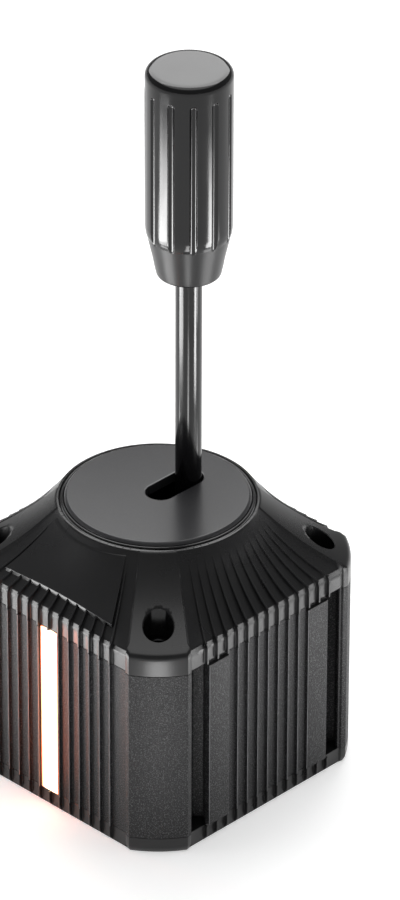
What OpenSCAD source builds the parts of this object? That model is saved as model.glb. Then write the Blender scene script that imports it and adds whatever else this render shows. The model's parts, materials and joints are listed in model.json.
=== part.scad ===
// Sim racing handbrake: square ribbed housing, rear-set lever that tilts to the front, fluted handle.
// Millimetres. +Z up, front (light bar) is -Y, T-slots on the +X and -X sides, origin under the middle.

/* [Housing] */
// side of the square housing over the rib tips
body_side = 123.2; // [115.2:1:135.2]
// how much each corner of the square is cut away
corner_cut = 19.2; // [16.7:0.1:21.2]
// how far each corner face starts beyond the cut
corner_in = 2.5; // [1.5:0.1:3.5]
// how far the ends of a corner face stand in from the rib tips
corner_set = 0.3; // [0:0.1:0.9]
// how far the curved corner face stands out of its chord
corner_bulge = 1.4; // [0.8:0.1:2.4]
// height of the bottom cover
base_h = 7; // [6:0.5:10]
// height of the seam between extrusion and top cover
seam_z = 83.3; // [78.3:0.1:90.3]
// height of the bend where the top cover starts to slope
bend_z = 92.2; // [90.2:0.1:96.2]
// height of the collar lip round the disc
collar_z = 118; // [114:0.5:124]
// outer radius of the collar lip
collar_r = 40.3; // [40:0.1:42]
// how hollow the slope is, 0 is straight
slope_hollow = 0.35; // [0.1:0.05:0.5]
// wall thickness of the extrusion under the ribs
wall = 5.05; // [4.05:0.1:5.55]

/* [Ribs] */
// distance between ribs
rib_pitch = 5.69; // [5.4:0.01:5.9]
// height of a rib over the valley floor
rib_h = 1.6; // [1.2:0.05:2]
// thickness of a rib
rib_t = 0.85; // [0.7:0.05:1.3]
// chamfer on a rib's tip
rib_chamfer = 0.2; // [0.1:0.05:0.3]

/* [T-slots] */
// width of the T-slot's opening
slot_w = 8.3; // [8:0.1:8.6]
// width of the T-slot behind its lips
slot_inner_w = 13.2; // [12:0.1:14]
// thickness of the lips
slot_lip = 2.7; // [2.2:0.1:3.2]
// depth of the slot behind its lips
slot_deep = 6.4; // [5:0.1:7]
// width of the flat band beside each T-slot
band_w = 11; // [9:0.5:12]
// gap between the band's top end and the top cover
band_relief = 0.75; // [0.4:0.05:1.2]

/* [Light bar] */
// width of the light bar
light_w = 9.8; // [8:0.1:10.3]
// width of the window behind the light bar
window_w = 7.6; // [5:0.1:8]
// how far the light bar stands in from the rib tips
light_inset = 1.1; // [0.7:0.1:1.3]

/* [Top disc] */
// radius of the top disc
disc_r = 37.1; // [36:0.1:37.6]
// thickness of the top disc
disc_t = 4; // [3:0.1:5]
// height of the disc over the collar lip
disc_stand = 1.8; // [1:0.1:2.5]
// width of the lever's slot
lever_slot_w = 12; // [11.6:0.1:13]
// outer radius of the trim ring
ring_r = 39.05; // [38.9:0.05:39.3]
// radius of the bead on the trim ring
bead_r = 0.55; // [0.4:0.05:0.65]

/* [Emblem pad] */
// radius of the pad's curved upper edge
pad_arc_r = 42.2; // [41.5:0.1:44]
// half angle that the pad spans
pad_angle = 28.3; // [24:0.1:30]
// distance from the rib tips to the pad's lower edge
pad_low = 6.3; // [5.1:0.1:9.1]

/* [Lever and handle] */
// distance of the upright lever behind the middle
lever_y = 17; // [16:0.1:18]
// radius of the lever rod
rod_r = 5.3; // [5:0.05:5.5]
// radius of the rod's threaded end
thread_r = 5; // [4.5:0.1:5]
// height of the lever's pivot
pivot_z = 40; // [38:0.5:42]
// full pull angle in degrees
pull_angle = 11; // [9:0.5:11]
// height of the handle's top
handle_top = 304; // [290:1:320]
// length of the handle
handle_len = 90.2; // [86.2:0.2:98.2]
// radius of the handle
handle_r = 17.2; // [16:0.1:19]
// length of the handle's tapered foot
taper_len = 20.8; // [18:0.2:26]
// number of flutes
flutes = 12; // [8:1:14]
// width of a flute
flute_w = 3; // [2:0.1:3.6]
// depth of a flute
flute_deep = 1.1; // [0.6:0.1:1.6]
// distance from the handle's top to the flutes
flute_start = 7.6; // [5.6:0.1:11]
// how far the flutes stop over the handle's foot
flute_stop = 16; // [14:0.1:20]

/* [Mechanism] */
// thickness of the side frames
frame_t = 6; // [5:0.5:7]
// distance from the middle to the inner face of a side frame
frame_x = 21; // [20:0.5:23]
// radius of the pivot axle
axle_r = 5; // [4.5:0.1:5.5]
// outer radius of the pivot bearings
bearing_r = 9.5; // [8.5:0.1:10.5]
// width of a pivot bearing
bearing_w = 6; // [5:0.1:7]
// radius of the hub round the axle
hub_r = 13; // [12.5:0.1:14]
// width of the lever hub
hub_w = 40; // [38:0.5:40]
// radius of the roller
roller_r = 6; // [5:0.1:6.5]
// width of the roller
roller_w = 8; // [6:0.5:10]
// height of the roller over the pivot
roller_up = 36; // [34:0.5:37]
// height of the plunger over the pivot
plunger_up = 34; // [33:0.1:35]
// radius of the plunger's head
head_r = 13; // [12:0.5:15]
// radius of the plunger's stem
stem_r = 4; // [3.5:0.1:4.5]
// wire thickness of the return spring
wire_d = 1.5; // [1.2:0.1:1.6]
// turns of the return spring
spring_turns = 3; // [2.5:0.5:3.5]
// length of the return spring at rest
spring_len = 14; // [13.5:0.5:15]
// radius of the elastomer rings
elastomer_r = 11; // [9:0.5:13]
// length of one elastomer ring
elastomer_len = 4.6; // [4:0.1:5]
// thickness of the load cell
cell_t = 7; // [6:0.5:8]
// radius of the load cell
cell_r = 16; // [14:0.5:17]
// thickness of the load cell's bracket
bracket_t = 5; // [4:0.5:5]

/* [Fasteners and boards] */
// distance of each corner screw in from the rib tips on both sides
corner_inset = 16.4; // [15.8:0.1:17]
// radius of the corner screws' thread
corner_screw_r = 3; // [2.5:0.1:3]
// radius of the counterbores in the top cover
counterbore_r = 6; // [5.6:0.1:6.4]
// distance between the mounting holes along X
mount_x = 70; // [66:1:74]
// distance between the mounting holes along Y
mount_y = 80; // [76:1:84]
// radius of the tapped mounting holes
mount_r = 2.5; // [2.1:0.1:3]
// thickness of the circuit boards
board_t = 1.6; // [1.2:0.1:2]
// running clearance round shafts, on the radius
running = 0.05; // [0.03:0.01:0.08]
// clearance between fixed parts
fit_gap = 0.1; // [0.06:0.01:0.15]

/* [Hidden] */
half = body_side / 2;
floor_half = half - rib_h;
inner_half = floor_half - wall;
side_rib = 6;
corner_screw = half - corner_inset;
tiny = 0.01;

// each corner face is an arc through both ends of its chord
edge_u = half - corner_cut;
face_w = half - corner_set;
face_u = edge_u + corner_in;
face_chord = (face_w - face_u) * sqrt(2);
lobe_r = face_chord * face_chord / 8 / corner_bulge + corner_bulge / 2;
lobe_c = (face_w + face_u) / sqrt(2) + corner_bulge - lobe_r;
lobe_xy = lobe_c / sqrt(2);
lobe_land = 4;
step_u = 0.3;
step_w = 0.4;

// T-slots
slot_edge = edge_u - 0.85;
slot_y = slot_edge - slot_w / 2;
band_out = slot_edge - slot_w;

// top cover
disc_top = collar_z + disc_stand;
disc_bottom = disc_top - disc_t;
ring_gap = 0.15;
recess_r = ring_r + fit_gap;
ring_step = 0.6;
cover_hole_r = 33;
slope_end = 0.96;
slope_steps = 4;
floor_drop = 0.5;
wing_reach = lobe_c + lobe_r;
floor_reach = norm([floor_half, edge_u]) - 0.7;
rib_reach = floor_reach + rib_h * 1.2;

// lever slot, sized from the rod's path at the disc's top
lever_arm = disc_top - pivot_z;
slot_back = lever_y;
slot_front = lever_y - lever_arm * tan(pull_angle);

// handle
flute_turn = -39.8;
handle_foot = handle_top - handle_len;
taper_top = handle_foot + taper_len;
rod_top = handle_top - 30;
hub_top = pivot_z + 32;
nut_h = 5;
nut_r = 8;
rod_foot = pivot_z + hub_r + 1;
shoulder_z = hub_top + nut_h + 0.5;

// push train, all along -Y at the plunger's height
plunger_z = pivot_z + plunger_up;
roller_z = pivot_z + roller_up;
roller_y = 1.5;
touch_gap = 0.05;
head_t = 3.5;
head_back = roller_y - roller_r - touch_gap;
head_front = head_back - head_t;
washer_t = 1.5;
washer_back = head_front - spring_len;
washer_front = washer_back - washer_t;
spacer_t = 1;
cell_back = washer_front - 2 * elastomer_len - spacer_t;
cell_front = cell_back - cell_t;
bracket_front = cell_front - bracket_t;
stem_end = bracket_front + 1.25;
spring_r = head_r - 4.4;

// side frames
foot_w = 16;
foot_t = 5;
frame_front = cell_front;
frame_back = 36;
frame_low_top = pivot_z + 15;
frame_high_top = seam_z + 2.8;
post_w = 9;
stop_t = 4;
stop_z = pivot_z + 26;
stop_h = 16;
stop_pad_r = 6;
stop_peg_r = 2;
bracket_window = 24;
neck_half = 8.5;

// boards
board_room = 8.45;
board_y = inner_half - board_room;
socket_z = 22;
socket_w = 9;
socket_h = 3.3;

// colours
c_body = [0.27, 0.27, 0.28];
c_cover = [0.22, 0.22, 0.23];
c_disc = [0.36, 0.36, 0.37];
c_gloss = [0.05, 0.05, 0.055];
c_steel = [0.7, 0.7, 0.72];
c_dark_steel = [0.18, 0.18, 0.19];
c_brass = [0.78, 0.6, 0.28];
c_board = [0.05, 0.25, 0.12];
c_lens = [1, 0.93, 0.85];
c_rubber = [0.08, 0.08, 0.08];
c_elastomer = [0.85, 0.3, 0.12];

// outlines

// the corner face, between short slanted flanks that rise from the floor of the sides
module corner_lobe() {
  side = [[half - lobe_land, edge_u], [floor_half, edge_u], [face_w - step_w, edge_u + step_u],
    [face_w + 3 * step_w, edge_u + step_u + 4 * (corner_in - step_u)]];
  n = len(side);
  intersection() {
    translate([lobe_xy, lobe_xy]) circle(r = lobe_r, $fn = 192);
    polygon(concat(side, [for (i = [n - 1:-1:0]) [side[i][1], side[i][0]]]));
  }
}

module quarter(n = 4) {
  for (i = [0:n - 1])
    rotate(i * 90) children();
}

module floor_outline() {
  intersection() {
    square(2 * floor_half, center = true);
    rotate(45) square(2 * (half + edge_u) / sqrt(2), center = true);
  }
}

// one rib on the +Y side, its root sunk into the floor
module rib_2d() {
  translate([0, floor_half])
    polygon([[-rib_t / 2, -1], [rib_t / 2, -1], [rib_t / 2, rib_h - rib_chamfer],
      [rib_t / 2 - rib_chamfer, rib_h], [-rib_t / 2 + rib_chamfer, rib_h],
      [-rib_t / 2, rib_h - rib_chamfer]]);
}

module rib_row(from, to) {
  for (i = [from:to])
    translate([i * rib_pitch, 0]) rib_2d();
}

module full_outline() {
  floor_outline();
  quarter() corner_lobe();
  quarter() rib_row(-side_rib, side_rib);
}

// the extrusion has no rib where the light bar sits, nor beside its T-slots
module extrusion_outline() {
  floor_outline();
  quarter() corner_lobe();
  rib_row(-side_rib, side_rib);
  rotate(180) rib_row(-side_rib, -1);
  rotate(180) rib_row(1, side_rib);
  for (s = [0, 180])
    rotate(90 + s) rib_row(-3, 3);
}

module bands_2d() {
  for (s = [0, 180], m = [0, 1])
    rotate(90 + s) mirror([m, 0])
      translate([band_out - band_w, floor_half - 1]) square([band_w, rib_h + 1]);
}

module t_slot_2d() {
  translate([slot_y - slot_w / 2, half - slot_lip - 1]) square([slot_w, slot_lip + 6]);
  polygon([[slot_y - slot_inner_w / 2, half - slot_lip],
    [slot_y + slot_inner_w / 2, half - slot_lip],
    [slot_y + slot_inner_w / 2, half - slot_lip - slot_deep / 2],
    [slot_y + slot_w / 2, half - slot_lip - slot_deep],
    [slot_y - slot_w / 2, half - slot_lip - slot_deep],
    [slot_y - slot_inner_w / 2, half - slot_lip - slot_deep / 2]]);
}

module t_slots_2d() {
  for (s = [0, 180], m = [0, 1])
    rotate(90 + s) mirror([m, 0]) t_slot_2d();
}

port_wall = 3.2;
slot_box_wall = 2.2;
slot_box_in = half - slot_lip - slot_deep - slot_box_wall;

module inner_outline() {
  difference() {
    square(2 * inner_half, center = true);
    for (s = [0, 180], m = [0, 1])
      rotate(90 + s) mirror([m, 0])
        translate([slot_y - slot_inner_w / 2 - slot_box_wall, slot_box_in])
          square([slot_inner_w + 40, half]);
    quarter() translate([corner_screw, corner_screw])
      circle(r = corner_screw_r + port_wall, $fn = 48);
    quarter() translate([corner_screw, corner_screw])
      square(half);
  }
}

module body_extrusion() {
  color(c_body)
  difference() {
    union() {
      translate([0, 0, base_h]) linear_extrude(seam_z - base_h) difference() {
        extrusion_outline();
        inner_outline();
      }
      // the bands stop short of the top cover
      translate([0, 0, base_h]) linear_extrude(seam_z - base_h - band_relief) bands_2d();
    }
    translate([0, 0, base_h - 1]) linear_extrude(seam_z - base_h + 2) {
      t_slots_2d();
      quarter() translate([corner_screw, corner_screw])
        circle(r = corner_screw_r + running, $fn = 32);
    }
    // window behind the light bar
    translate([0, -half, (base_h + seam_z) / 2])
      cube([window_w, 4 * (wall + rib_h), seam_z - base_h - 2 * bar_end], center = true);
    // window for the socket
    translate([0, half, socket_z])
      cube([socket_w + 2.4, 4 * (wall + rib_h), socket_h + 2.4], center = true);
    // shallow pocket round the socket, cut through the ribs
    translate([0, floor_half + 5, socket_z])
      cube([2.6 * rib_pitch, 10, 14], center = true);
  }
}

// top cover

// share t of the way from the bend (0) to the collar (1)
function slope_z(t) = bend_z + (collar_z - bend_z) * ((1 - slope_hollow) * t + slope_hollow * t * t);
function slope_reach(t, from) = collar_r + (1 - t) * (from - collar_r);
slope_levels = [for (j = [0:slope_steps]) slope_end * j / slope_steps];

// the four flat slopes, as two crossed prisms with the same hollow profile
module slope_prisms(side, drop) {
  edge = concat([[side, seam_z]],
    [for (t = slope_levels) [slope_reach(t, side), slope_z(t) - drop * (1 - t)]]);
  n = len(edge);
  intersection_for (a = [0, 90])
    rotate([90, 0, a]) linear_extrude(body_side + 4, center = true)
      polygon(concat(edge, [for (i = [n - 1:-1:0]) [-edge[i][0], edge[i][1]]]));
}

// the round part of the slopes, for the corners between them
module slope_cone(from, drop) {
  rotate_extrude($fn = 96)
    polygon(concat([[0, seam_z], [from + 20, seam_z], [from + 20, slope_z(0) - drop]],
      [for (t = slope_levels) [slope_reach(t, from), slope_z(t) - drop * (1 - t)]],
      [[0, slope_z(slope_end)]]));
}

// wings, with their outer edge rounded over
module wing_cone() {
  levels = [for (j = [1:slope_steps]) slope_levels[j]];
  rotate_extrude($fn = 96)
    polygon(concat([[0, seam_z], [wing_reach + 1, seam_z], [wing_reach + 1, bend_z - 2.2],
        [wing_reach - 0.1, bend_z - 0.7], [wing_reach - 1.1, bend_z + 0.4], [wing_reach - 3, bend_z + 1.6]],
      [for (t = levels) [slope_reach(t, wing_reach), slope_z(t)]],
      [[0, slope_z(slope_end)]]));
}

// ribs, wings and pad in plan: straight to the bend, then all towards the axis
rib_turn = floor_half - 1;

module slope_rib(i) {
  y = i * rib_pitch;
  near = 0.62;
  polygon([[y - rib_t / 2, half + 1], [y + rib_t / 2, half + 1], [y + rib_t / 2, rib_turn],
    [y * near + rib_t * 0.35, rib_turn * near], [y * near - rib_t * 0.35, rib_turn * near],
    [y - rib_t / 2, rib_turn]]);
}

wing_top_w = 7;

module wing_plan() {
  near = collar_r - 6;
  polygon([[(near - wing_top_w) / sqrt(2), (near + wing_top_w) / sqrt(2)],
    [(near + wing_top_w) / sqrt(2), (near - wing_top_w) / sqrt(2)],
    [face_w - 2.6, edge_u + 0.7], [edge_u + 0.7, face_w - 2.6]]);
  corner_lobe();
}

module pad_plan() {
  difference() {
    intersection() {
      polygon([[0, 0], [-half * tan(pad_angle), -half], [half * tan(pad_angle), -half]]);
      translate([-half, -half + pad_low]) square([body_side, half]);
    }
    circle(r = pad_arc_r, $fn = 96);
  }
}

module rib_plan() {
  quarter() for (i = [-side_rib:side_rib]) slope_rib(i);
  pad_plan();
}

cover_flange_z = seam_z + 3.6;
cover_hollow = 6.4;
boss_r = counterbore_r + 2.6;

module top_cover() {
  color(c_cover)
  difference() {
    union() {
      intersection() {
        slope_prisms(floor_half, floor_drop);
        slope_cone(floor_reach, floor_drop);
        translate([0, 0, seam_z]) linear_extrude(collar_z - seam_z) floor_outline();
      }
      intersection() {
        slope_prisms(half, 0);
        slope_cone(rib_reach, 0);
        translate([0, 0, seam_z]) linear_extrude(collar_z - seam_z) rib_plan();
      }
      intersection() {
        wing_cone();
        translate([0, 0, seam_z]) linear_extrude(collar_z - seam_z) quarter() wing_plan();
      }
      // collar that the slopes run into
      rotate_extrude($fn = 96)
        polygon([[0, seam_z + 10], [collar_r + 2.4, seam_z + 10], [collar_r + 2.3, collar_z - 8],
          [collar_r + 2.1, collar_z - 3], [collar_r + 0.5, collar_z - 0.45], [collar_r, collar_z],
          [0, collar_z]]);
    }
    // hollow inside, left solid round the corner screws
    difference() {
      union() {
        translate([0, 0, seam_z - 1])
          linear_extrude(cover_hollow + 1) inner_outline();
        translate([0, 0, seam_z + cover_hollow - tiny])
          cylinder(r1 = slot_box_in, r2 = cover_hole_r, h = disc_bottom - 3 - seam_z - cover_hollow,
            $fn = 96);
      }
      quarter() translate([corner_screw, corner_screw, 0])
        cylinder(r = boss_r, h = collar_z, $fn = 48);
    }
    cylinder(r = cover_hole_r, h = collar_z + 1, $fn = 96);
    translate([0, 0, disc_bottom]) cylinder(r = recess_r, h = 10, $fn = 96);
    quarter() translate([corner_screw, corner_screw, 0]) {
      cylinder(r = corner_screw_r + 0.3, h = collar_z, $fn = 32);
      translate([0, 0, cover_flange_z]) cylinder(r = counterbore_r, h = collar_z, $fn = 48);
    }
    // holes for the disc's screws, from below
    for (a = disc_screw_angles)
      rotate(a) translate([disc_screw_r, 0, 0]) {
        cylinder(r = disc_screw_thread + 0.2, h = collar_z, $fn = 24);
        cylinder(r = disc_screw_thread + 1.6, h = disc_bottom - 2.5, $fn = 24);
      }
  }
}

disc_screw_r = cover_hole_r + 1.9;
disc_screw_thread = 1;
disc_screw_angles = [30, 150, 270];

module disc_screws() {
  color(c_dark_steel)
  for (a = disc_screw_angles)
    rotate(a) translate([disc_screw_r, 0, 0]) {
      translate([0, 0, disc_bottom - 2.5]) cylinder(r = disc_screw_thread, h = 4.5, $fn = 24);
      translate([0, 0, disc_bottom - 4.1]) cylinder(r = disc_screw_thread + 1, h = 1.6, $fn = 24);
    }
}

module slot_path(r) {
  translate([0, slot_back]) circle(r = r, $fn = 64);
  translate([0, slot_front]) circle(r = r, $fn = 64);
  translate([-r, slot_front]) square([2 * r, slot_back - slot_front]);
}

module top_disc() {
  color(c_disc)
  difference() {
    rotate_extrude($fn = 128)
      polygon([[0, disc_bottom], [disc_r - 0.3, disc_bottom], [disc_r, disc_bottom + 0.3],
        [disc_r, disc_top - 1], [disc_r - 1, disc_top], [0, disc_top]]);
    translate([0, 0, disc_bottom - 1]) linear_extrude(disc_t + 2) slot_path(lever_slot_w / 2);
    for (a = disc_screw_angles)
      rotate(a) translate([disc_screw_r, 0, disc_bottom - 1])
        cylinder(r = disc_screw_thread + running, h = 3.5, $fn = 24);
  }
}

module trim_ring() {
  color(c_gloss)
  difference() {
    union() {
      rotate_extrude($fn = 128)
        polygon([[disc_r + ring_gap, disc_bottom], [ring_r, disc_bottom],
          [ring_r, collar_z - ring_step], [ring_r - 0.5, collar_z - 0.3],
          [disc_r + ring_gap, collar_z - 0.3]]);
      translate([0, 0, collar_z]) rotate_extrude($fn = 128)
        translate([disc_r + ring_gap + bead_r, 0]) circle(r = bead_r, $fn = 16);
    }
    translate([0, 0, disc_bottom - 1]) cylinder(r = disc_r + ring_gap, h = disc_t + 4, $fn = 128);
  }
}

socket_r = 2.5;

module cap_screw(r, len, head_r, head_h, socket) {
  // shank runs down from the head's seat at z 0
  translate([0, 0, -len]) cylinder(r = r, h = len + tiny, $fn = 32);
  difference() {
    cylinder(r = head_r, h = head_h, $fn = 48);
    translate([0, 0, head_h * 0.45]) cylinder(r = socket, h = head_h, $fn = 6);
  }
}

module cover_screws() {
  color(c_dark_steel)
  quarter() translate([corner_screw, corner_screw, cover_flange_z])
    cap_screw(corner_screw_r, 16, counterbore_r - 1, 4, socket_r);
}

// bottom cover

csk_r = 6;
csk_h = 3.3;
foot_screw_y = [-24, 20];
foot_screw_r = 2.5;
foot_screw_x = frame_x + frame_t + 8.5;
rim_h = 2;
base_chamfer = 1.9;
corner_draft = 1.3;

module bottom_cover() {
  color(c_cover)
  difference() {
    union() {
      linear_extrude(base_h) full_outline();
      // rim that centres the extrusion
      translate([0, 0, base_h - tiny]) linear_extrude(rim_h) difference() {
        rim_plate(inner_half - 0.3);
        rim_plate(inner_half - 3);
      }
    }
    // chamfer along the four sides of the underside, and a taller one below each corner face
    quarter() translate([0, half, 0]) rotate([45, 0, 0])
      cube([2 * edge_u + 0.8, base_chamfer * sqrt(2), base_chamfer * sqrt(2)], center = true);
    quarter() intersection() {
      translate([lobe_xy, lobe_xy, 0]) rotate_extrude($fn = 192)
        polygon([[lobe_r - corner_draft, -tiny], [lobe_r + 4, -tiny], [lobe_r + 4, 3], [lobe_r, 3]]);
      translate([edge_u + step_u, edge_u + step_u, -1]) cube(40);
    }
    quarter() translate([corner_screw, corner_screw, -tiny]) {
      cylinder(r = corner_screw_r + 0.3, h = base_h + 1, $fn = 32);
      cylinder(r1 = csk_r + 0.2, r2 = corner_screw_r + 0.3, h = csk_h + 0.2, $fn = 48);
    }
    for (x = [-1, 1], y = [-1, 1])
      translate([x * mount_x / 2, y * mount_y / 2, -1]) cylinder(r = mount_r, h = base_h + 2, $fn = 32);
    for (x = [-1, 1], y = foot_screw_y)
      translate([x * foot_screw_x, y, 1.5])
        cylinder(r = foot_screw_r + running, h = base_h, $fn = 32);
  }
}

module rim_plate(s) {
  intersection() {
    square(2 * s, center = true);
    rotate(45) square(2 * (corner_screw * sqrt(2) - corner_screw_r - port_wall - 0.4), center = true);
    square([2 * (slot_box_in - 0.4), 2 * s], center = true);
  }
}

module base_screws() {
  color(c_dark_steel)
  quarter() translate([corner_screw, corner_screw, 0])
    difference() {
      union() {
        cylinder(r1 = csk_r - 0.05, r2 = corner_screw_r - 0.05, h = csk_h, $fn = 48);
        cylinder(r = corner_screw_r, h = 20, $fn = 32);
      }
      translate([0, 0, -1]) cylinder(r = 2, h = 2.8, $fn = 6);
    }
}

// light bar

led_t = 1;
led_size = 3.5;
leds = 9;
bar_end = 6;
strip_w = 18;

module light_bar() {
  color(c_lens)
  union() {
    translate([-light_w / 2, -(half - light_inset), base_h + fit_gap])
      cube([light_w, half - light_inset - floor_half - 0.02, seam_z - base_h - 2 * fit_gap]);
    translate([-window_w / 2 + fit_gap, -floor_half - 0.05, base_h + bar_end + fit_gap])
      cube([window_w - 2 * fit_gap, wall - led_t - 0.15, seam_z - base_h - 2 * bar_end - 2 * fit_gap]);
  }
}

module light_board() {
  color(c_board)
  translate([-strip_w / 2, -inner_half, base_h + 3])
    difference() {
      cube([strip_w, board_t, seam_z - base_h - 8]);
      for (x = [-1, strip_w - 1], z = [4, seam_z - base_h - 16])
        translate([x, -1, z]) cube([2, board_t + 2, 4]);
    }
}

module light_diodes() {
  color([0.95, 0.9, 0.7])
  for (i = [0:leds - 1])
    translate([-led_size / 2, -inner_half - led_t,
        base_h + bar_end + 2 + i * (seam_z - base_h - 2 * bar_end - 4 - led_size) / (leds - 1)])
      cube([led_size, led_t, led_size]);
}

// side frames

module frame_outline() {
  polygon([[frame_front, base_h], [frame_back, base_h], [frame_back, stop_z + stop_h / 2],
    [frame_back - post_w, stop_z + stop_h / 2], [frame_back - post_w, frame_low_top],
    [-8, frame_low_top], [-22, frame_high_top - 12], [-28, frame_high_top],
    [frame_front, frame_high_top]]);
}

module one_frame() {
  difference() {
    union() {
      translate([frame_x, 0, 0]) rotate([90, 0, 90]) linear_extrude(frame_t)
        difference() {
          frame_outline();
          // lightening holes
          translate([-24, 27]) circle(r = 9, $fn = 48);
          translate([-27, 62]) circle(r = 6, $fn = 48);
          translate([-4, 26]) circle(r = 5.5, $fn = 48);
          // bore for the axle
          translate([lever_y, pivot_z]) circle(r = axle_r + 0.01, $fn = 64);
        }
      // foot
      translate([frame_x + frame_t - tiny, foot_screw_y[0] - 9, base_h])
        cube([foot_w, foot_screw_y[1] - foot_screw_y[0] + 18, foot_t]);
      // gusset between foot and plate
      for (y = [-6, 2])
        translate([frame_x + frame_t - tiny, y, base_h + foot_t - tiny]) rotate([90, 0, 0])
          linear_extrude(4) polygon([[0, 0], [foot_w - 3, 0], [0, 12]]);
    }
    for (y = foot_screw_y)
      translate([foot_screw_x, y, 0]) cylinder(r = foot_screw_r + 0.25, h = 30, $fn = 32);
    for (z = bracket_screw_z)
      translate([frame_x + frame_t / 2, frame_front - 1, z]) rotate([-90, 0, 0])
        cylinder(r = bracket_screw_r + running, h = 13, $fn = 24);
    for (z = stop_screw_z)
      translate([frame_x + frame_t / 2, frame_back + 1, z]) rotate([90, 0, 0])
        cylinder(r = bracket_screw_r + running, h = 11, $fn = 24);
  }
}

bracket_screw_r = 1.5;
bracket_screw_z = [18, plunger_z - 26, frame_high_top - 3.5];
stop_screw_z = [stop_z - stop_h / 4, stop_z + stop_h / 4];

module left_frame() {
  color(c_dark_steel) mirror([1, 0, 0]) one_frame();
}

module right_frame() {
  color(c_dark_steel) one_frame();
}

module frame_screws() {
  color(c_steel)
  for (x = [-1, 1], y = foot_screw_y)
    translate([x * foot_screw_x, y, base_h + foot_t])
      cap_screw(foot_screw_r, foot_t + 4.5, 4.2, 5, 2);
}

axle_end = frame_x + frame_t + 3;
clip_w = 1;
clip_gap = 0.3;

module pivot_axle() {
  color(c_steel)
  translate([0, lever_y, pivot_z]) rotate([0, 90, 0]) difference() {
    cylinder(r = axle_r, h = 2 * axle_end, center = true, $fn = 64);
    for (s = [-1, 1])
      translate([0, 0, s * (frame_x + frame_t + clip_gap + clip_w / 2)])
        difference() {
          cylinder(r = axle_r + 1, h = clip_w, center = true, $fn = 48);
          cylinder(r = axle_r - 0.8, h = clip_w + 1, center = true, $fn = 48);
        }
  }
}

module axle_clips() {
  color(c_dark_steel)
  for (s = [-1, 1])
    translate([s * (frame_x + frame_t + clip_gap + clip_w / 2), lever_y, pivot_z]) rotate([0, 90, 0])
      difference() {
        cylinder(r = axle_r + 2.4, h = clip_w - 0.1, center = true, $fn = 48);
        cylinder(r = axle_r - 0.75, h = clip_w + 1, center = true, $fn = 48);
        translate([axle_r, 0, 0]) cube([2 * axle_r, axle_r, clip_w + 1], center = true);
      }
}

module pivot_bearings() {
  color(c_steel)
  for (s = [-1, 1])
    translate([s * (hub_w / 2 - bearing_w / 2), lever_y, pivot_z]) rotate([0, 90, 0])
      difference() {
        cylinder(r = bearing_r, h = bearing_w, center = true, $fn = 64);
        cylinder(r = axle_r + running, h = bearing_w + 1, center = true, $fn = 64);
        // dished faces between the rings
        for (m = [-1, 1])
          translate([0, 0, m * bearing_w / 2]) difference() {
            cylinder(r = bearing_r - 1.3, h = 1, center = true, $fn = 48);
            cylinder(r = axle_r + 1.3, h = 2, center = true, $fn = 48);
          }
      }
}

// lever

arm_in = roller_w / 2 + 0.6;
arm_t = 5;
arm_end_r = 5.5;

module arm_outline() {
  // drawn in Y and Z, from the hub's boss to the roller's pin
  polygon([[lever_y - hub_r * 0.95, pivot_z], [roller_y - arm_end_r, roller_z - 3],
    [roller_y - arm_end_r * 0.6, roller_z + arm_end_r * 0.8], [roller_y + arm_end_r, roller_z + 1],
    [lever_y - 2, pivot_z + hub_r * 0.9]]);
  translate([roller_y, roller_z]) circle(r = arm_end_r, $fn = 48);
}

module lever_hub() {
  color(c_body)
  difference() {
    union() {
      translate([0, lever_y, pivot_z]) rotate([0, 90, 0])
        cylinder(r = hub_r, h = hub_w, center = true, $fn = 64);
      // neck that holds the rod
      translate([-neck_half, lever_y - neck_half, pivot_z])
        cube([2 * neck_half, 2 * neck_half, hub_top - pivot_z]);
      // two arms to the roller
      for (s = [-1, 1])
        translate([s * (arm_in + arm_t / 2) - arm_t / 2, 0, 0]) rotate([90, 0, 90])
          linear_extrude(arm_t) arm_outline();
    }
    // bores
    translate([0, lever_y, pivot_z]) rotate([0, 90, 0]) {
      cylinder(r = axle_r + 0.6, h = hub_w + 2, center = true, $fn = 64);
      for (s = [-1, 1])
        translate([0, 0, s * (hub_w / 2 - bearing_w / 2 + 1)])
          cylinder(r = bearing_r + 0.01, h = bearing_w + 2, center = true, $fn = 64);
    }
    translate([0, lever_y, rod_foot]) cylinder(r = thread_r + running, h = 60, $fn = 64);
    translate([0, roller_y, roller_z]) rotate([0, 90, 0])
      cylinder(r = pin_r + 0.01, h = hub_w, center = true, $fn = 32);
  }
}

pin_r = 3;

module roller_pin() {
  color(c_steel)
  translate([0, roller_y, roller_z]) rotate([0, 90, 0])
    cylinder(r = pin_r, h = 2 * (arm_in + arm_t) + 1, center = true, $fn = 32);
}

module roller() {
  color(c_steel)
  translate([0, roller_y, roller_z]) rotate([0, 90, 0]) difference() {
    cylinder(r = roller_r, h = roller_w, center = true, $fn = 64);
    cylinder(r = pin_r + running, h = roller_w + 1, center = true, $fn = 32);
    for (m = [-1, 1])
      translate([0, 0, m * roller_w / 2]) difference() {
        cylinder(r = roller_r - 1.2, h = 1, center = true, $fn = 48);
        cylinder(r = pin_r + 1, h = 2, center = true, $fn = 48);
      }
  }
}

module lever_rod() {
  color(c_gloss)
  union() {
    translate([0, lever_y, rod_foot + 0.5]) cylinder(r = thread_r, h = shoulder_z - rod_foot, $fn = 64);
    translate([0, lever_y, shoulder_z]) cylinder(r = rod_r, h = rod_top - 20 - shoulder_z, $fn = 64);
    translate([0, lever_y, rod_top - 21]) cylinder(r = thread_r, h = 21, $fn = 64);
  }
}

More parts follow.
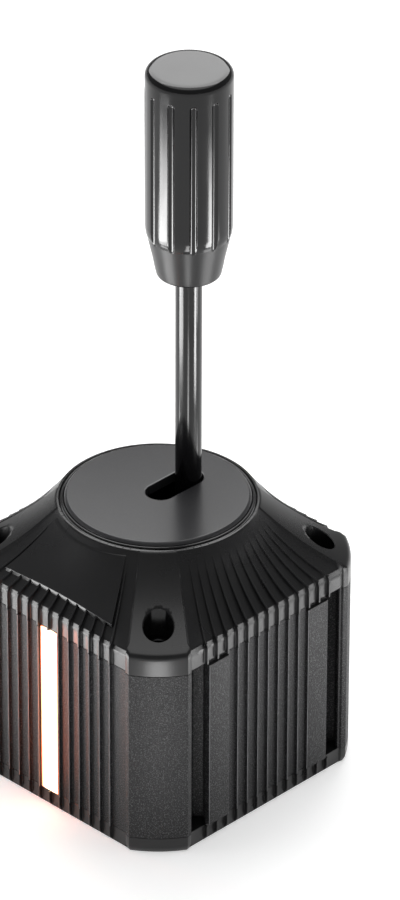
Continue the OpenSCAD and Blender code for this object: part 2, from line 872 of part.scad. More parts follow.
module lock_nut() {
  color(c_steel)
  translate([0, lever_y, hub_top]) difference() {
    intersection() {
      cylinder(r = nut_r, h = nut_h, $fn = 6);
      cylinder(r1 = nut_r + 3, r2 = nut_r - 0.7, h = nut_h, $fn = 48);
    }
    translate([0, 0, -1]) cylinder(r = thread_r + running, h = nut_h + 2, $fn = 64);
  }
}

// the sleeve's outline at its drawn size, scaled with its radius and its taper
module handle_profile() {
  k = handle_r / 17.2;
  u = taper_len / 20.8;
  taper = [[12.2, 0], [12.6, 0.15], [12.85, 0.6], [13.6, 4.2], [14.4, 8.6], [15.4, 13], [16.3, 17],
    [16.95, 19.2], [17.2, 21.8]];
  crown = [[17.2, 2.9], [17, 1.9], [16.45, 1], [15.6, 0.35], [14.4, 0]];
  polygon(concat([[0, handle_foot]],
    [for (p = taper) [p[0] * k, handle_foot + p[1] * u]],
    [for (p = crown) [p[0] * k, handle_top - p[1]]],
    [[0, handle_top]]));
}

module handle() {
  color(c_gloss)
  translate([0, lever_y, 0]) difference() {
    rotate_extrude($fn = 96) handle_profile();
    translate([0, 0, handle_foot - 1]) cylinder(r = rod_r + running, h = rod_top - 20 - handle_foot + 1.1,
      $fn = 64);
    translate([0, 0, rod_top - 22]) cylinder(r = thread_r + running, h = 23, $fn = 64);
    for (i = [0:flutes - 1])
      rotate(i * 360 / flutes + flute_turn) flute();
  }
}

// a flute is a round-ended channel cut by a long cylinder with ball ends
module flute() {
  cutter_r = (flute_w * flute_w / 4 + flute_deep * flute_deep) / 2 / flute_deep;
  low = handle_foot + flute_stop + flute_w / 2;
  high = handle_top - flute_start - flute_w / 2;
  translate([handle_r - flute_deep + cutter_r, 0, low])
    cylinder(r = cutter_r, h = high - low, $fn = 32);
  translate([handle_r - flute_deep + cutter_r, 0, low]) sphere(r = cutter_r, $fn = 32);
  translate([handle_r - flute_deep + cutter_r, 0, high]) sphere(r = cutter_r, $fn = 32);
}

// push train

module along_front() {
  translate([0, 0, plunger_z]) rotate([90, 0, 0]) children();
}

module plunger() {
  color(c_steel)
  along_front() {
    translate([0, 0, -head_back]) cylinder(r = head_r, h = head_t, $fn = 64);
    translate([0, 0, -head_front - tiny]) cylinder(r = stem_r + 1.4, h = 2, $fn = 48);
    translate([0, 0, -head_front - tiny]) cylinder(r = stem_r, h = head_front - stem_end, $fn = 48);
  }
}

// unbroken spring: closed end turns, open turns between, as one swept tube
spring_rings = 8;
coil_sides = 6;
end_turns = 1;
all_turns = spring_turns + 2 * end_turns;
end_pitch = wire_d + 0.45;
open_pitch = (spring_len - wire_d - 0.1 - 2 * end_turns * end_pitch) / spring_turns;
function coil_y(u) =
  u < end_turns ? u * end_pitch :
  u < end_turns + spring_turns ? end_turns * end_pitch + (u - end_turns) * open_pitch :
  end_turns * end_pitch + spring_turns * open_pitch + (u - end_turns - spring_turns) * end_pitch;
function coil_point(u) = [spring_r * cos(360 * u), spring_r * sin(360 * u), coil_y(u)];
echo("least gap between spring turns", min(end_pitch, open_pitch) - wire_d);

module spring_tube() {
  steps = round(all_turns * spring_rings);
  pts = [for (i = [0:steps]) let(u = i * all_turns / steps, p = coil_point(u),
      out = [cos(360 * u), sin(360 * u), 0])
    for (s = [0:coil_sides - 1]) let(a = 360 * s / coil_sides)
      p + wire_d / 2 * (out * cos(a) + [0, 0, 1] * sin(a))];
  n = coil_sides;
  sides = [for (i = [0:steps - 1]) for (s = [0:n - 1]) each
    [[i * n + s, i * n + (s + 1) % n, (i + 1) * n + s],
     [i * n + (s + 1) % n, (i + 1) * n + (s + 1) % n, (i + 1) * n + s]]];
  polyhedron(points = pts, faces = concat([[for (s = [n - 1:-1:0]) s]],
    [[for (s = [0:n - 1]) steps * n + s]], sides));
}

module return_spring() {
  color(c_steel)
  along_front() translate([0, 0, -head_front + 0.05 + wire_d / 2]) spring_tube();
}

module stack_washer() {
  color(c_steel)
  along_front() translate([0, 0, -washer_back]) difference() {
    cylinder(r = head_r, h = washer_t, $fn = 64);
    translate([0, 0, -1]) cylinder(r = stem_r + 0.2, h = washer_t + 2, $fn = 48);
  }
}

module elastomer_ring(y) {
  along_front() translate([0, 0, -y + 0.02]) difference() {
    cylinder(r = elastomer_r, h = elastomer_len - 0.04, $fn = 48);
    translate([0, 0, -1]) cylinder(r = stem_r + 0.6, h = elastomer_len + 2, $fn = 48);
  }
}

module elastomer_rings() {
  color(c_elastomer) {
    elastomer_ring(washer_front);
    elastomer_ring(washer_front - elastomer_len - spacer_t);
  }
}

module stack_spacer() {
  color(c_steel)
  along_front() translate([0, 0, -washer_front + elastomer_len]) difference() {
    cylinder(r = elastomer_r + 0.5, h = spacer_t, $fn = 48);
    translate([0, 0, -1]) cylinder(r = stem_r + 0.3, h = spacer_t + 2, $fn = 48);
  }
}

module load_cell() {
  color(c_steel)
  union() {
    along_front() translate([0, 0, -cell_back]) difference() {
      union() {
        cylinder(r = cell_r - 3, h = cell_t, $fn = 64);
        translate([0, 0, 1.5]) cylinder(r = cell_r, h = cell_t - 1.5, $fn = 64);
      }
      translate([0, 0, -1]) cylinder(r = stem_r + 0.8, h = cell_t + 2, $fn = 48);
    }
    // outlet for the sensor lead
    translate([0, cell_front + 2.75, plunger_z + cell_r - 1]) cylinder(r = 1.8, h = 5, $fn = 24);
  }
}

module load_bracket() {
  color(c_dark_steel)
  difference() {
    translate([-(frame_x + frame_t), bracket_front, base_h + 4])
      cube([2 * (frame_x + frame_t), bracket_t, frame_high_top - base_h - 4]);
    along_front() translate([0, 0, -cell_front - 1]) cylinder(r = bush_r + 0.01, h = bracket_t + 2, $fn = 48);
    for (s = [-1, 1], z = bracket_screw_z)
      translate([s * (frame_x + frame_t / 2), bracket_front - 1, z]) rotate([-90, 0, 0])
        cylinder(r = bracket_screw_r + 0.2, h = bracket_t + 2, $fn = 24);
    // window that lightens the plate
    translate([-bracket_window / 2, bracket_front - 1, base_h + bracket_window / 2])
      cube([bracket_window, bracket_t + 2, bracket_window]);
  }
}

bush_r = stem_r + 2;

module stem_bush() {
  color(c_brass)
  along_front() translate([0, 0, -cell_front]) difference() {
    cylinder(r = bush_r, h = bracket_t, $fn = 48);
    translate([0, 0, -1]) cylinder(r = stem_r + running, h = bracket_t + 2, $fn = 48);
  }
}

module bracket_screws() {
  color(c_steel)
  for (s = [-1, 1], z = bracket_screw_z)
    translate([s * (frame_x + frame_t / 2), bracket_front, z]) rotate([90, 0, 0])
      cap_screw(bracket_screw_r, bracket_t + 9, 2.7, 2, 1.25);
}

// rest stop

module stop_bar() {
  color(c_dark_steel)
  difference() {
    translate([-(frame_x + frame_t), frame_back, stop_z - stop_h / 2])
      cube([2 * (frame_x + frame_t), stop_t, stop_h]);
    for (s = [-1, 1], z = stop_screw_z)
      translate([s * (frame_x + frame_t / 2), frame_back - 1, z]) rotate([-90, 0, 0])
        cylinder(r = bracket_screw_r + 0.2, h = stop_t + 2, $fn = 24);
    translate([0, frame_back - 1, stop_z]) rotate([-90, 0, 0])
      cylinder(r = stop_peg_r + tiny, h = stop_t + 2, $fn = 32);
  }
}

module stop_screws() {
  color(c_steel)
  for (s = [-1, 1], z = stop_screw_z)
    translate([s * (frame_x + frame_t / 2), frame_back + stop_t, z]) rotate([-90, 0, 0])
      cap_screw(bracket_screw_r, stop_t + 8, 2.7, 2, 1.25);
}

module stop_pad() {
  color(c_rubber)
  translate([0, frame_back, stop_z]) rotate([90, 0, 0]) {
    cylinder(r = stop_pad_r, h = frame_back - lever_y - neck_half - touch_gap, $fn = 48);
    translate([0, 0, -stop_t]) cylinder(r = stop_peg_r, h = stop_t + 1, $fn = 32);
  }
}

// electronics

board_w = 56;
board_h = 40;
board_low = 12;
board_hole_x = board_w / 2 - 4;
board_hole_z = [board_low + 4, board_low + board_h - 4];
spacer_r = 2.6;

module main_board() {
  color(c_board)
  difference() {
    translate([-board_w / 2, board_y, board_low]) cube([board_w, board_t, board_h]);
    for (s = [-1, 1], z = board_hole_z)
      translate([s * board_hole_x, board_y - 1, z]) rotate([-90, 0, 0])
        cylinder(r = 1.2, h = board_t + 2, $fn = 24);
  }
}

module board_spacers() {
  color(c_brass)
  for (s = [-1, 1], z = board_hole_z)
    translate([s * board_hole_x, board_y + board_t, z]) rotate([-90, 0, 0]) difference() {
      cylinder(r = spacer_r, h = inner_half - board_y - board_t, $fn = 32);
      translate([0, 0, -1]) cylinder(r = 1.05, h = 6, $fn = 24);
    }
}

module board_screws() {
  color(c_steel)
  for (s = [-1, 1], z = board_hole_z)
    translate([s * board_hole_x, board_y, z]) rotate([90, 0, 0])
      cap_screw(1, board_t + 3.5, 1.9, 1.4, 0.8);
}

module usb_socket() {
  color(c_steel)
  difference() {
    translate([-socket_w / 2, board_y + board_t, socket_z - socket_h / 2])
      cube([socket_w, floor_half - 0.3 - board_y - board_t, socket_h]);
    translate([-socket_w / 2 + 0.4, floor_half - 6.6, socket_z - socket_h / 2 + 0.4])
      cube([socket_w - 0.8, 8, socket_h - 0.8]);
  }
}

// each chip: place along X and Z, width, height and thickness; then the plug for the sensor lead
chips = [[-6, 34, 10, 10, 1.4], [-22, 30, 8, 5, 1.6], [12, 36, 6, 8, 1.2], [10, 20, 5, 3, 1]];
plug = [-20, 40, 12, 6, 5];

module on_board(p) {
  translate([p[0], board_y - p[4], p[1]]) cube([p[2], p[4], p[3]]);
}

module board_parts() {
  color([0.1, 0.1, 0.1]) for (p = chips) on_board(p);
  color(c_lens) on_board(plug);
}

handle();
lever_rod();
lock_nut();
top_disc();
trim_ring();
disc_screws();
top_cover();
cover_screws();
body_extrusion();
light_bar();
light_board();
light_diodes();
bottom_cover();
base_screws();
left_frame();
right_frame();
frame_screws();
pivot_axle();
axle_clips();
pivot_bearings();
lever_hub();
roller();
roller_pin();
plunger();
return_spring();
stack_washer();
elastomer_rings();
stack_spacer();
load_cell();
stem_bush();
load_bracket();
bracket_screws();
stop_bar();
stop_screws();
stop_pad();
main_board();
board_parts();
board_spacers();
board_screws();
usb_socket();
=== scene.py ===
import json
from math import cos, degrees, hypot, pi, radians, sin, sqrt, tan

import bmesh
import bpy
import numpy as np
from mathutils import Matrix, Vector
from mathutils.geometry import tessellate_polygon

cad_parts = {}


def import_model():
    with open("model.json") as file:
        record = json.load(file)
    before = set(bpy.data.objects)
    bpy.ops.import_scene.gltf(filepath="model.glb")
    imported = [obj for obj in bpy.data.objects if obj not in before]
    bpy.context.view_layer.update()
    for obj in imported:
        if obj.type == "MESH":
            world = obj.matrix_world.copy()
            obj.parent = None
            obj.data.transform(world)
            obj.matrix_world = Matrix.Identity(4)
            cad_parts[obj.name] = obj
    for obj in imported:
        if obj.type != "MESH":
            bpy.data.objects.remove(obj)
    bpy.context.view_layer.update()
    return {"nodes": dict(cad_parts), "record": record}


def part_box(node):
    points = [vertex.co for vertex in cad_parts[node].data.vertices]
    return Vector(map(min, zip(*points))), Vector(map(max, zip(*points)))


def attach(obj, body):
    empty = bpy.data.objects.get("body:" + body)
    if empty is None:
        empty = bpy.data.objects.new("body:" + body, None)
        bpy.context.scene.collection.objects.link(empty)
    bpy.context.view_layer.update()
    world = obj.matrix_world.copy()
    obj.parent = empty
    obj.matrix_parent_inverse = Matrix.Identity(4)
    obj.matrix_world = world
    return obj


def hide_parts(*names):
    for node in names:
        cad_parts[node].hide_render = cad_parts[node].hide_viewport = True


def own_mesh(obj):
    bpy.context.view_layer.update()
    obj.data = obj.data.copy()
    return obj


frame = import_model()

MM = 0.001


def low(node):
    """Lowest corner of a CAD node in millimetres."""
    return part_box(node)[0] / MM


def high(node):
    """Highest corner of a CAD node in millimetres."""
    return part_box(node)[1] / MM


# Sizes in millimetres, from the frame where it holds them and else as in the CAD source
HALF = high("body_extrusion").x
CORNER_SET = 0.3
FACE_W = HALF - CORNER_SET
FACE_IN = 2.5
RIB_H = 1.6
FLOOR = HALF - RIB_H
RIB_PITCH = 5.69
RIB_T = 0.85
SIDE_RIB = 6
CORNER_CUT = 19.2
CORNER_BULGE = 1.4
EDGE_U = HALF - CORNER_CUT
FACE_U = EDGE_U + FACE_IN
BASE_TOP = low("body_extrusion").z
SEAM = low("top_cover").z
BEND = 92.2
FLOOR_DROP = 0.5
COLLAR_Z = high("top_cover").z
COLLAR_R = 40.3
HOLLOW = 0.35
SLOT_W = 8.3
SLOT_RIM = 0.85
SLOT_EDGE = EDGE_U - SLOT_RIM
BAND_OUT = SLOT_EDGE - SLOT_W
BAND_W = 11.0
BAND_RELIEF = 0.75
SLOT_LIP = 2.7
SLOT_DEEP = 6.4
SLOT_INNER_W = 13.2
SLOT_WALL = 2.2
SLOT_ZONE = 28.5
INNER = 54.95
INNER_CORNER_R = 56.8
PAD_ANGLE = 28.3
PAD_ARC_R = 42.2
PAD_LOW = 6.3
PAD_PROUD = 0.22
SCREW_XY = 45.2
MOUNT_X = 35
MOUNT_Y = 40
BASE_CHAMFER = 1.9
CORNER_DRAFT = 1.3
COUNTERBORE_R = 6.0
SCREW_SEAT = SEAM + 3.6
DISC_TOP = high("top_disc").z
DISC_BOTTOM = low("top_disc").z
DISC_R = high("top_disc").x
RING_R = high("trim_ring").x
LEVER_Y = 17.0
PIVOT_Z = 40
PULL = radians(11)
SLOT_END_R = 6.0
HANDLE_TOP = high("handle").z
HANDLE_FOOT = low("handle").z
HANDLE_R = high("handle").x
TAPER_FINISH = 17.5
ROD_R = high("lever_rod").x
JOINT_GAP = 0.02
EDGE_SOFT = 0.14
SHARP_ANGLE = radians(32)
CORNERS = [(sx, sy) for sx in (-1, 1) for sy in (-1, 1)]

# Camera, fitted to the photograph
VIEW_AZIMUTH = radians(44.86)
VIEW_ELEVATION = radians(32.465)
VIEW_DISTANCE = 2.9664
VIEW_TARGET = Vector((0.0, 0.0, 0.1))
PHOTO_W = 400
PHOTO_H = 900
FOCAL_PIXELS = 7500
TARGET_PIXEL = (158.0, 535.3)


# Small mesh tools


def smooth_step(x, start, end):
    """Zero up to start and one from end on, with an even bend between."""
    t = np.clip((np.asarray(x, float) - start) / (end - start), 0, 1)
    return t * t * (3 - 2 * t)


def shade(mesh):
    """Smooth shading apart from the sharp edges."""
    mesh.shade_smooth()
    mesh.set_sharp_from_angle(angle=SHARP_ANGLE)


def piece(name, points, faces, material):
    """A mesh piece from points in millimetres, smooth apart from its sharp edges."""
    mesh = bpy.data.meshes.new(name)
    mesh.from_pydata([tuple(p) for p in np.asarray(points, float) * MM], [], faces)
    mesh.validate()
    shade(mesh)
    mesh.materials.append(material)
    obj = bpy.data.objects.new(name, mesh)
    bpy.context.scene.collection.objects.link(obj)
    return obj


def skin(loops, wrap=False):
    """Quads between loops that have as many points each, the last joined to the first if wrap."""
    n, m = len(loops[0]), len(loops)
    faces = []
    for r in range(m if wrap else m - 1):
        a, b = r * n, (r + 1) % m * n
        faces += [(a + i, a + (i + 1) % n, b + (i + 1) % n, b + i) for i in range(n)]
    return np.vstack(loops), faces


def cap(loops, z, up):
    """Triangles that fill one outline, or the band between an outline and its hole."""
    flat = [[Vector((x, y, 0)) for x, y in np.asarray(loop)[:, :2]] for loop in loops]
    points = [(p.x, p.y, z) for loop in flat for p in loop]
    faces = []
    for t in tessellate_polygon(flat):
        a, b, c = (points[i] for i in t)
        turn = (b[0] - a[0]) * (c[1] - a[1]) - (b[1] - a[1]) * (c[0] - a[0])
        if abs(turn) > 1e-9:
            faces.append(tuple(t) if (turn > 0) == up else (t[0], t[2], t[1]))
    return points, faces


def joined(*parts):
    """One list of points and faces from several."""
    points, faces = [], []
    for p, f in parts:
        start = len(points)
        points += [tuple(q) for q in p]
        faces += [tuple(i + start for i in face) for face in f]
    return points, faces


WELD_DISTANCE = 0.0005


def weld(obj):
    """Joins points that lie together."""
    bm = bmesh.new()
    bm.from_mesh(obj.data)
    bmesh.ops.remove_doubles(bm, verts=bm.verts, dist=WELD_DISTANCE * MM)
    bmesh.ops.recalc_face_normals(bm, faces=bm.faces)
    bm.to_mesh(obj.data)
    bm.free()
    shade(obj.data)


def carve(obj, *cutters):
    """Cuts other meshes out of obj and removes them."""
    for cutter in cutters:
        change = obj.modifiers.new("cut", "BOOLEAN")
        change.operation = "DIFFERENCE"
        change.solver = "EXACT"
        change.object = cutter
    bpy.context.view_layer.update()
    graph = bpy.context.evaluated_depsgraph_get()
    made = bpy.data.meshes.new_from_object(obj.evaluated_get(graph))
    obj.modifiers.clear()
    obj.data = made
    for cutter in cutters:
        bpy.data.objects.remove(cutter)
    shade(made)


def circle(radius, count, centre=(0, 0)):
    """Points round a circle, anticlockwise from +X."""
    a = np.linspace(0, 2 * pi, count, endpoint=False)
    return np.column_stack([centre[0] + radius * np.cos(a), centre[1] + radius * np.sin(a)])


def at(loop, z):
    """A flat outline lifted to height z."""
    loop = np.asarray(loop, float)
    return np.column_stack([loop[:, 0], loop[:, 1], np.full(len(loop), z)])


def inset(loop, distance):
    """The outline moved in by a small distance along its normals."""
    loop = np.asarray(loop, float)
    tangent = np.roll(loop, -1, 0) - np.roll(loop, 1, 0)
    tangent /= np.maximum(np.linalg.norm(tangent, axis=1, keepdims=True), 1e-9)
    return loop + distance * np.column_stack([-tangent[:, 1], tangent[:, 0]])


def softened(points, radius, steps=3, least_turn=24, closed=True):
    """A polyline with its sharp corners rounded."""
    points = np.asarray(points, float)
    n = len(points)
    out = []
    for i in range(n):
        if not closed and i in (0, n - 1):
            out.append(points[i])
            continue
        p, a, b = points[i], points[i - 1], points[(i + 1) % n]
        u, v = a - p, b - p
        lu, lv = np.linalg.norm(u), np.linalg.norm(v)
        turn = 180 - degrees(np.arccos(np.clip(u @ v / (lu * lv), -1, 1)))
        if turn < least_turn:
            out.append(p)
            continue
        d = min(radius, 0.45 * lu, 0.45 * lv)
        start, end = p + u / lu * d, p + v / lv * d
        for t in np.linspace(0, 1, steps + 1):
            out.append((1 - t) ** 2 * start + 2 * t * (1 - t) * p + t * t * end)
    return np.array(out)


def turned(profile, count, centre=(0, 0), closed=True):
    """A surface of revolution from (radius, height) pairs, which may end on the axis."""
    return skin([at(circle(r, count, centre), z) for r, z in profile], wrap=closed)


# Housing outline: four sides and four corner lobes

CHORD = (FACE_W - FACE_U) * sqrt(2)
LOBE_R = CHORD**2 / 8 / CORNER_BULGE + CORNER_BULGE / 2
LOBE_XY = (FACE_W + FACE_U) / 2 + (CORNER_BULGE - LOBE_R) / sqrt(2)
WING_REACH = LOBE_XY * sqrt(2) + LOBE_R
LOBE_STEPS = 22
STEP_W = 0.4
STEP_U = 0.3
FLANK = (FACE_W - STEP_W, EDGE_U + STEP_U)
OUTLINE_SOFT = 0.22
BAND_RIBS = 3
PAD_RIBS = 5
PAD_EDGE_STATIONS = (-0.12, -0.02, 0.02, 0.12)


def rib(u):
    """One rib across a side, as (distance along the side, distance from the axis)."""
    near, far = u - RIB_T / 2, u + RIB_T / 2
    return [(near, FLOOR), (near, HALF), (far, HALF), (far, FLOOR)]


def ribs(first, last, skip=()):
    """The ribs from one number to another, counted from the side's middle."""
    return [p for i in range(first, last + 1) if i not in skip for p in rib(i * RIB_PITCH)]


def t_slot():
    """A T-slot on the positive half of a side, from its band's edge outwards."""
    back = HALF - SLOT_LIP - SLOT_DEEP
    centre = SLOT_EDGE - SLOT_W / 2
    wide = SLOT_INNER_W / 2
    lip = HALF - SLOT_LIP
    middle = lip - SLOT_DEEP / 2
    return [(BAND_OUT, HALF), (BAND_OUT, lip), (centre - wide, lip), (centre - wide, middle),
            (BAND_OUT, back), (SLOT_EDGE, back), (centre + wide, middle), (centre + wide, lip),
            (SLOT_EDGE, lip), (SLOT_EDGE, FLOOR)]


def ribbed_side():
    """A side with all its ribs."""
    return ribs(-SIDE_RIB, SIDE_RIB)


def slotted_side():
    """A side with a T-slot and a flat band at each end of its ribs."""
    half_side = [(BAND_OUT - BAND_W, FLOOR), (BAND_OUT - BAND_W, HALF)] + t_slot()
    mirrored = [(-u, w) for u, w in reversed(half_side)]
    return mirrored + ribs(-BAND_RIBS, BAND_RIBS) + half_side


def front_side():
    """The side whose middle rib gives way to the light bar."""
    return ribs(-SIDE_RIB, SIDE_RIB, skip=(0,))


def pad_side():
    """The side with the bare pad, which has four more stations at each pad edge."""
    u = FLOOR * tan(radians(PAD_ANGLE))
    edge = [(u + step, FLOOR) for step in PAD_EDGE_STATIONS]
    mirrored = [(-a, w) for a, w in reversed(edge)]
    middle = ribs(-PAD_RIBS, PAD_RIBS)
    return rib(-SIDE_RIB * RIB_PITCH) + mirrored + middle + edge + rib(SIDE_RIB * RIB_PITCH)


def outline(sides):
    """One closed outline, anticlockwise from the +X side. Each side gives (u, w) stations."""
    points = []
    first = np.arctan2(FACE_U - LOBE_XY, FACE_W - LOBE_XY)
    for k, side in enumerate(sides):
        a = k * pi / 2
        local = [(FLANK[0], -FLANK[1]), (FLOOR, -EDGE_U)] + [(w, u) for u, w in side]
        local += [(FLOOR, EDGE_U), FLANK]
        for t in np.linspace(first, pi / 2 - first, LOBE_STEPS):
            local.append((LOBE_XY + LOBE_R * cos(t), LOBE_XY + LOBE_R * sin(t)))
        points += [(x * cos(a) - y * sin(a), x * sin(a) + y * cos(a)) for x, y in local]
    return softened(points, OUTLINE_SOFT)


def local_of(points):
    """For outline points: the side's number, the distance along it and from the axis."""
    angle = np.arctan2(points[:, 1], points[:, 0])
    side = np.round(angle / (pi / 2)).astype(int) % 4
    a = side * pi / 2
    w = points[:, 0] * np.cos(a) + points[:, 1] * np.sin(a)
    u = -points[:, 0] * np.sin(a) + points[:, 1] * np.cos(a)
    return side, u, w


def inner_radius(theta):
    """Radius of the housing's inner wall at an angle."""
    side = np.round(theta / (pi / 2)).astype(int) % 4
    off = np.abs((theta + pi / 4) % (pi / 2) - pi / 4)
    behind_slot = HALF - SLOT_LIP - SLOT_DEEP - SLOT_WALL
    near_slot = (side % 2 == 0) & (INNER * np.tan(off) > SLOT_ZONE)
    wall = np.where(near_slot, behind_slot, INNER)
    return np.minimum(wall / np.cos(off), INNER_CORNER_R)


# Top cover: one skin of columns round the outline and rows from seam to collar

RIB_LEAN = 0.03
WING_SHARES = (0, 0.09, 1)
WING_NARROW = (1, 0.913, 1.026)
FADE = (0.70, 0.93)
BEND_CUT = 1.3
BEND_SHARE = 0.03
BEND_STEPS = (0, 0.12, 0.4, 0.7, 0.88)
WING_CUT = 2.0
WING_SHARE = 0.05
WING_STEPS = (0, 0.2, 0.4, 0.6, 0.8)
SKIRT = (0.18, 2.5, 5)
OUTER_ROWS = 6
PAD_ROWS = 24
ROW_BEFORE_PAD = 0.004
ROW_GAP = 0.006
LAST_ROW = 0.99
PAD_EDGE_RISE = 0.6


def rise(t):
    """Height over the bend's tip level at the share t of the way to the collar."""
    return BEND + (COLLAR_Z - BEND) * ((1 - HOLLOW) * t + HOLLOW * t * t)


def side_place(u, level, t):
    """Place and height on a slope, where level is 0 on a floor and 1 on a rib's tip."""
    theta = np.arctan2(u, FLOOR)
    start = FLOOR + RIB_H * level
    w = start - t * (start - COLLAR_R * np.cos(theta))
    turn = theta * (1 - RIB_LEAN * t)
    v = np.where(w > FLOOR, u, w * np.tan(turn))
    z = rise(t) - FLOOR_DROP * (1 - t) * (1 - level)
    return w, v, z


def wing_place(x, y, t):
    """Place and height on a wing, from its outline point."""
    theta, reach = np.arctan2(y, x) - pi / 4, np.hypot(x, y)
    narrow = np.interp(t, WING_SHARES, WING_NARROW)
    radius = COLLAR_R + (1 - t) * (reach - COLLAR_R)
    angle = pi / 4 + theta * narrow
    return radius * np.cos(angle), radius * np.sin(angle), wing_rise(radius)


def wing_rise(radius):
    """Height of the wings, which are parts of one cone."""
    return rise((WING_REACH - radius) / (WING_REACH - COLLAR_R))


def wing_height(x, y):
    """Height of a wing's surface over the point (x, y)."""
    return float(wing_rise(hypot(x, y)))


def column(u, w, pad):
    """All points of one column of the top cover, from the seam to the collar."""
    wing = u > EDGE_U + 0.001
    level = 1.0 if wing else float(np.clip((w - FLOOR) / RIB_H, 0, 1))
    theta = np.arctan2(min(u, EDGE_U), FLOOR)
    pad_theta = min(theta, radians(PAD_ANGLE))

    def share(level_at, distance):
        start = FLOOR + RIB_H * level_at
        return (start - distance) / (start - COLLAR_R * cos(pad_theta))

    low_t = share(level, HALF - PAD_LOW)
    low_tip = share(1.0, HALF - PAD_LOW)
    high_t = share(1.0, PAD_ARC_R * cos(pad_theta))
    begin = WING_SHARE if wing else BEND_SHARE
    before = np.linspace(begin, low_t - ROW_BEFORE_PAD, OUTER_ROWS)
    after = np.linspace(high_t + ROW_GAP, LAST_ROW, OUTER_ROWS)
    if pad:
        within = np.linspace(low_tip + ROW_GAP, high_t - ROW_GAP, PAD_ROWS)
        t = np.concatenate([before, [low_t], [low_tip], within, [high_t], after])
        off = np.zeros(OUTER_ROWS + 1)
        edge = [PAD_EDGE_RISE]
        raised = np.concatenate([off, edge, np.ones(PAD_ROWS), edge, off[1:]])
        on_pad = np.concatenate([off, np.ones(PAD_ROWS + 2), off[1:]])
    else:
        within = np.linspace(max(low_tip, low_t) + ROW_GAP, high_t - ROW_GAP, PAD_ROWS)
        next_t = low_t + 0.3 * (low_tip + ROW_GAP - low_t)
        t = np.concatenate([before, [low_t], [next_t], within, [high_t], after])
        raised = np.zeros(len(t))
        on_pad = np.zeros(len(t))
    here = level + (1 - level) * smooth_step(t, *FADE)
    here = np.maximum(here, on_pad)

    if wing:
        slope = np.column_stack(wing_place(w, u, t))
        corner = np.array([w, u, wing_rise(hypot(w, u))])
        start = corner - [0, 0, WING_CUT]
        bend = [(1 - s) ** 2 * start + 2 * s * (1 - s) * corner + s * s * slope[0]
                for s in WING_STEPS]
    else:
        slope = np.column_stack(side_place(u, here, t))
        slope[:, 2] += PAD_PROUD * raised
        corner = np.array([w, u, BEND - FLOOR_DROP * (1 - level)])
        start = corner - [0, 0, BEND_CUT]
        bend = [start + s * (slope[0] - start) for s in BEND_STEPS]
    skirt = [[w, u, SEAM + height] for height in SKIRT]
    return np.vstack([skirt, bend, slope])


def cover_columns():
    """The cover's outline, and its columns in the same order."""
    loop = outline([ribbed_side(), ribbed_side(), ribbed_side(), pad_side()])
    side, u, w = local_of(loop)
    columns = []
    for i in range(len(loop)):
        pad = side[i] == 3 and abs(u[i]) < FLOOR * tan(radians(PAD_ANGLE))
        local = column(abs(u[i]), w[i], pad)
        if u[i] < 0:
            local[:, 1] *= -1
        a = side[i] * pi / 2
        x = local[:, 0] * cos(a) - local[:, 1] * sin(a)
        y = local[:, 0] * sin(a) + local[:, 1] * cos(a)
        columns.append(np.column_stack([x, y, local[:, 2]]))
    return loop, columns


def top_cover(material):
    """The cap with its slopes, wings, collar and counterbores."""
    loop, columns = cover_columns()
    grid = np.array(columns)
    count, rows = grid.shape[0], grid.shape[1]
    theta = np.arctan2(loop[:, 1], loop[:, 0])
    chamfer = inset(loop, 0.16)
    loops = [at(chamfer, SEAM + JOINT_GAP)] + [grid[:, r] for r in range(rows)]

    def ring(radius, z):
        radius = np.broadcast_to(radius, theta.shape)
        return np.column_stack([radius * np.cos(theta), radius * np.sin(theta), np.full(count, z)])

    lip = RING_R + 0.1
    opening = 33.0
    for radius, z in ((COLLAR_R - 0.12, COLLAR_Z - 0.06), (COLLAR_R - 0.35, COLLAR_Z),
                      (lip + 0.2, COLLAR_Z), (lip, COLLAR_Z - 0.2), (lip, DISC_BOTTOM),
                      (opening, DISC_BOTTOM), (opening, DISC_BOTTOM - 3)):
        loops.append(ring(radius, z))
    inner = np.minimum(inner_radius(theta), 55.0)
    loops += [ring(inner, SEAM + 6.4), ring(inner, SEAM + JOINT_GAP)]
    points, faces = skin(loops, wrap=True)
    obj = piece("top_cover_shell", points, faces, material)
    weld(obj)
    carve(obj, *[counterbore(sx, sy, material) for sx, sy in CORNERS])
    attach(obj, "housing")
    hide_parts("top_cover")


def counterbore(sx, sy, material):
    """Cutter for one counterbore, with a chamfer that follows the wing's surface."""
    n = 72
    loops = []
    for radius, lift in ((COUNTERBORE_R, None), (COUNTERBORE_R, -0.38),
                         (COUNTERBORE_R + 0.42, 0.06), (COUNTERBORE_R + 0.46, 9.0)):
        ring = []
        for x, y in circle(radius, n, (SCREW_XY, SCREW_XY)):
            z = SCREW_SEAT if lift is None else wing_height(x, y) + lift
            ring.append((sx * x, sy * y, z))
        loops.append(np.array(ring))
    points, faces = skin(loops)
    faces += [tuple(range(n))[::-1], tuple(range(3 * n, 4 * n))]
    if sx * sy < 0:
        faces = [f[::-1] for f in faces]
    return piece("cutter", points, faces, material)


# Body, base, disc, ring, lever and handle


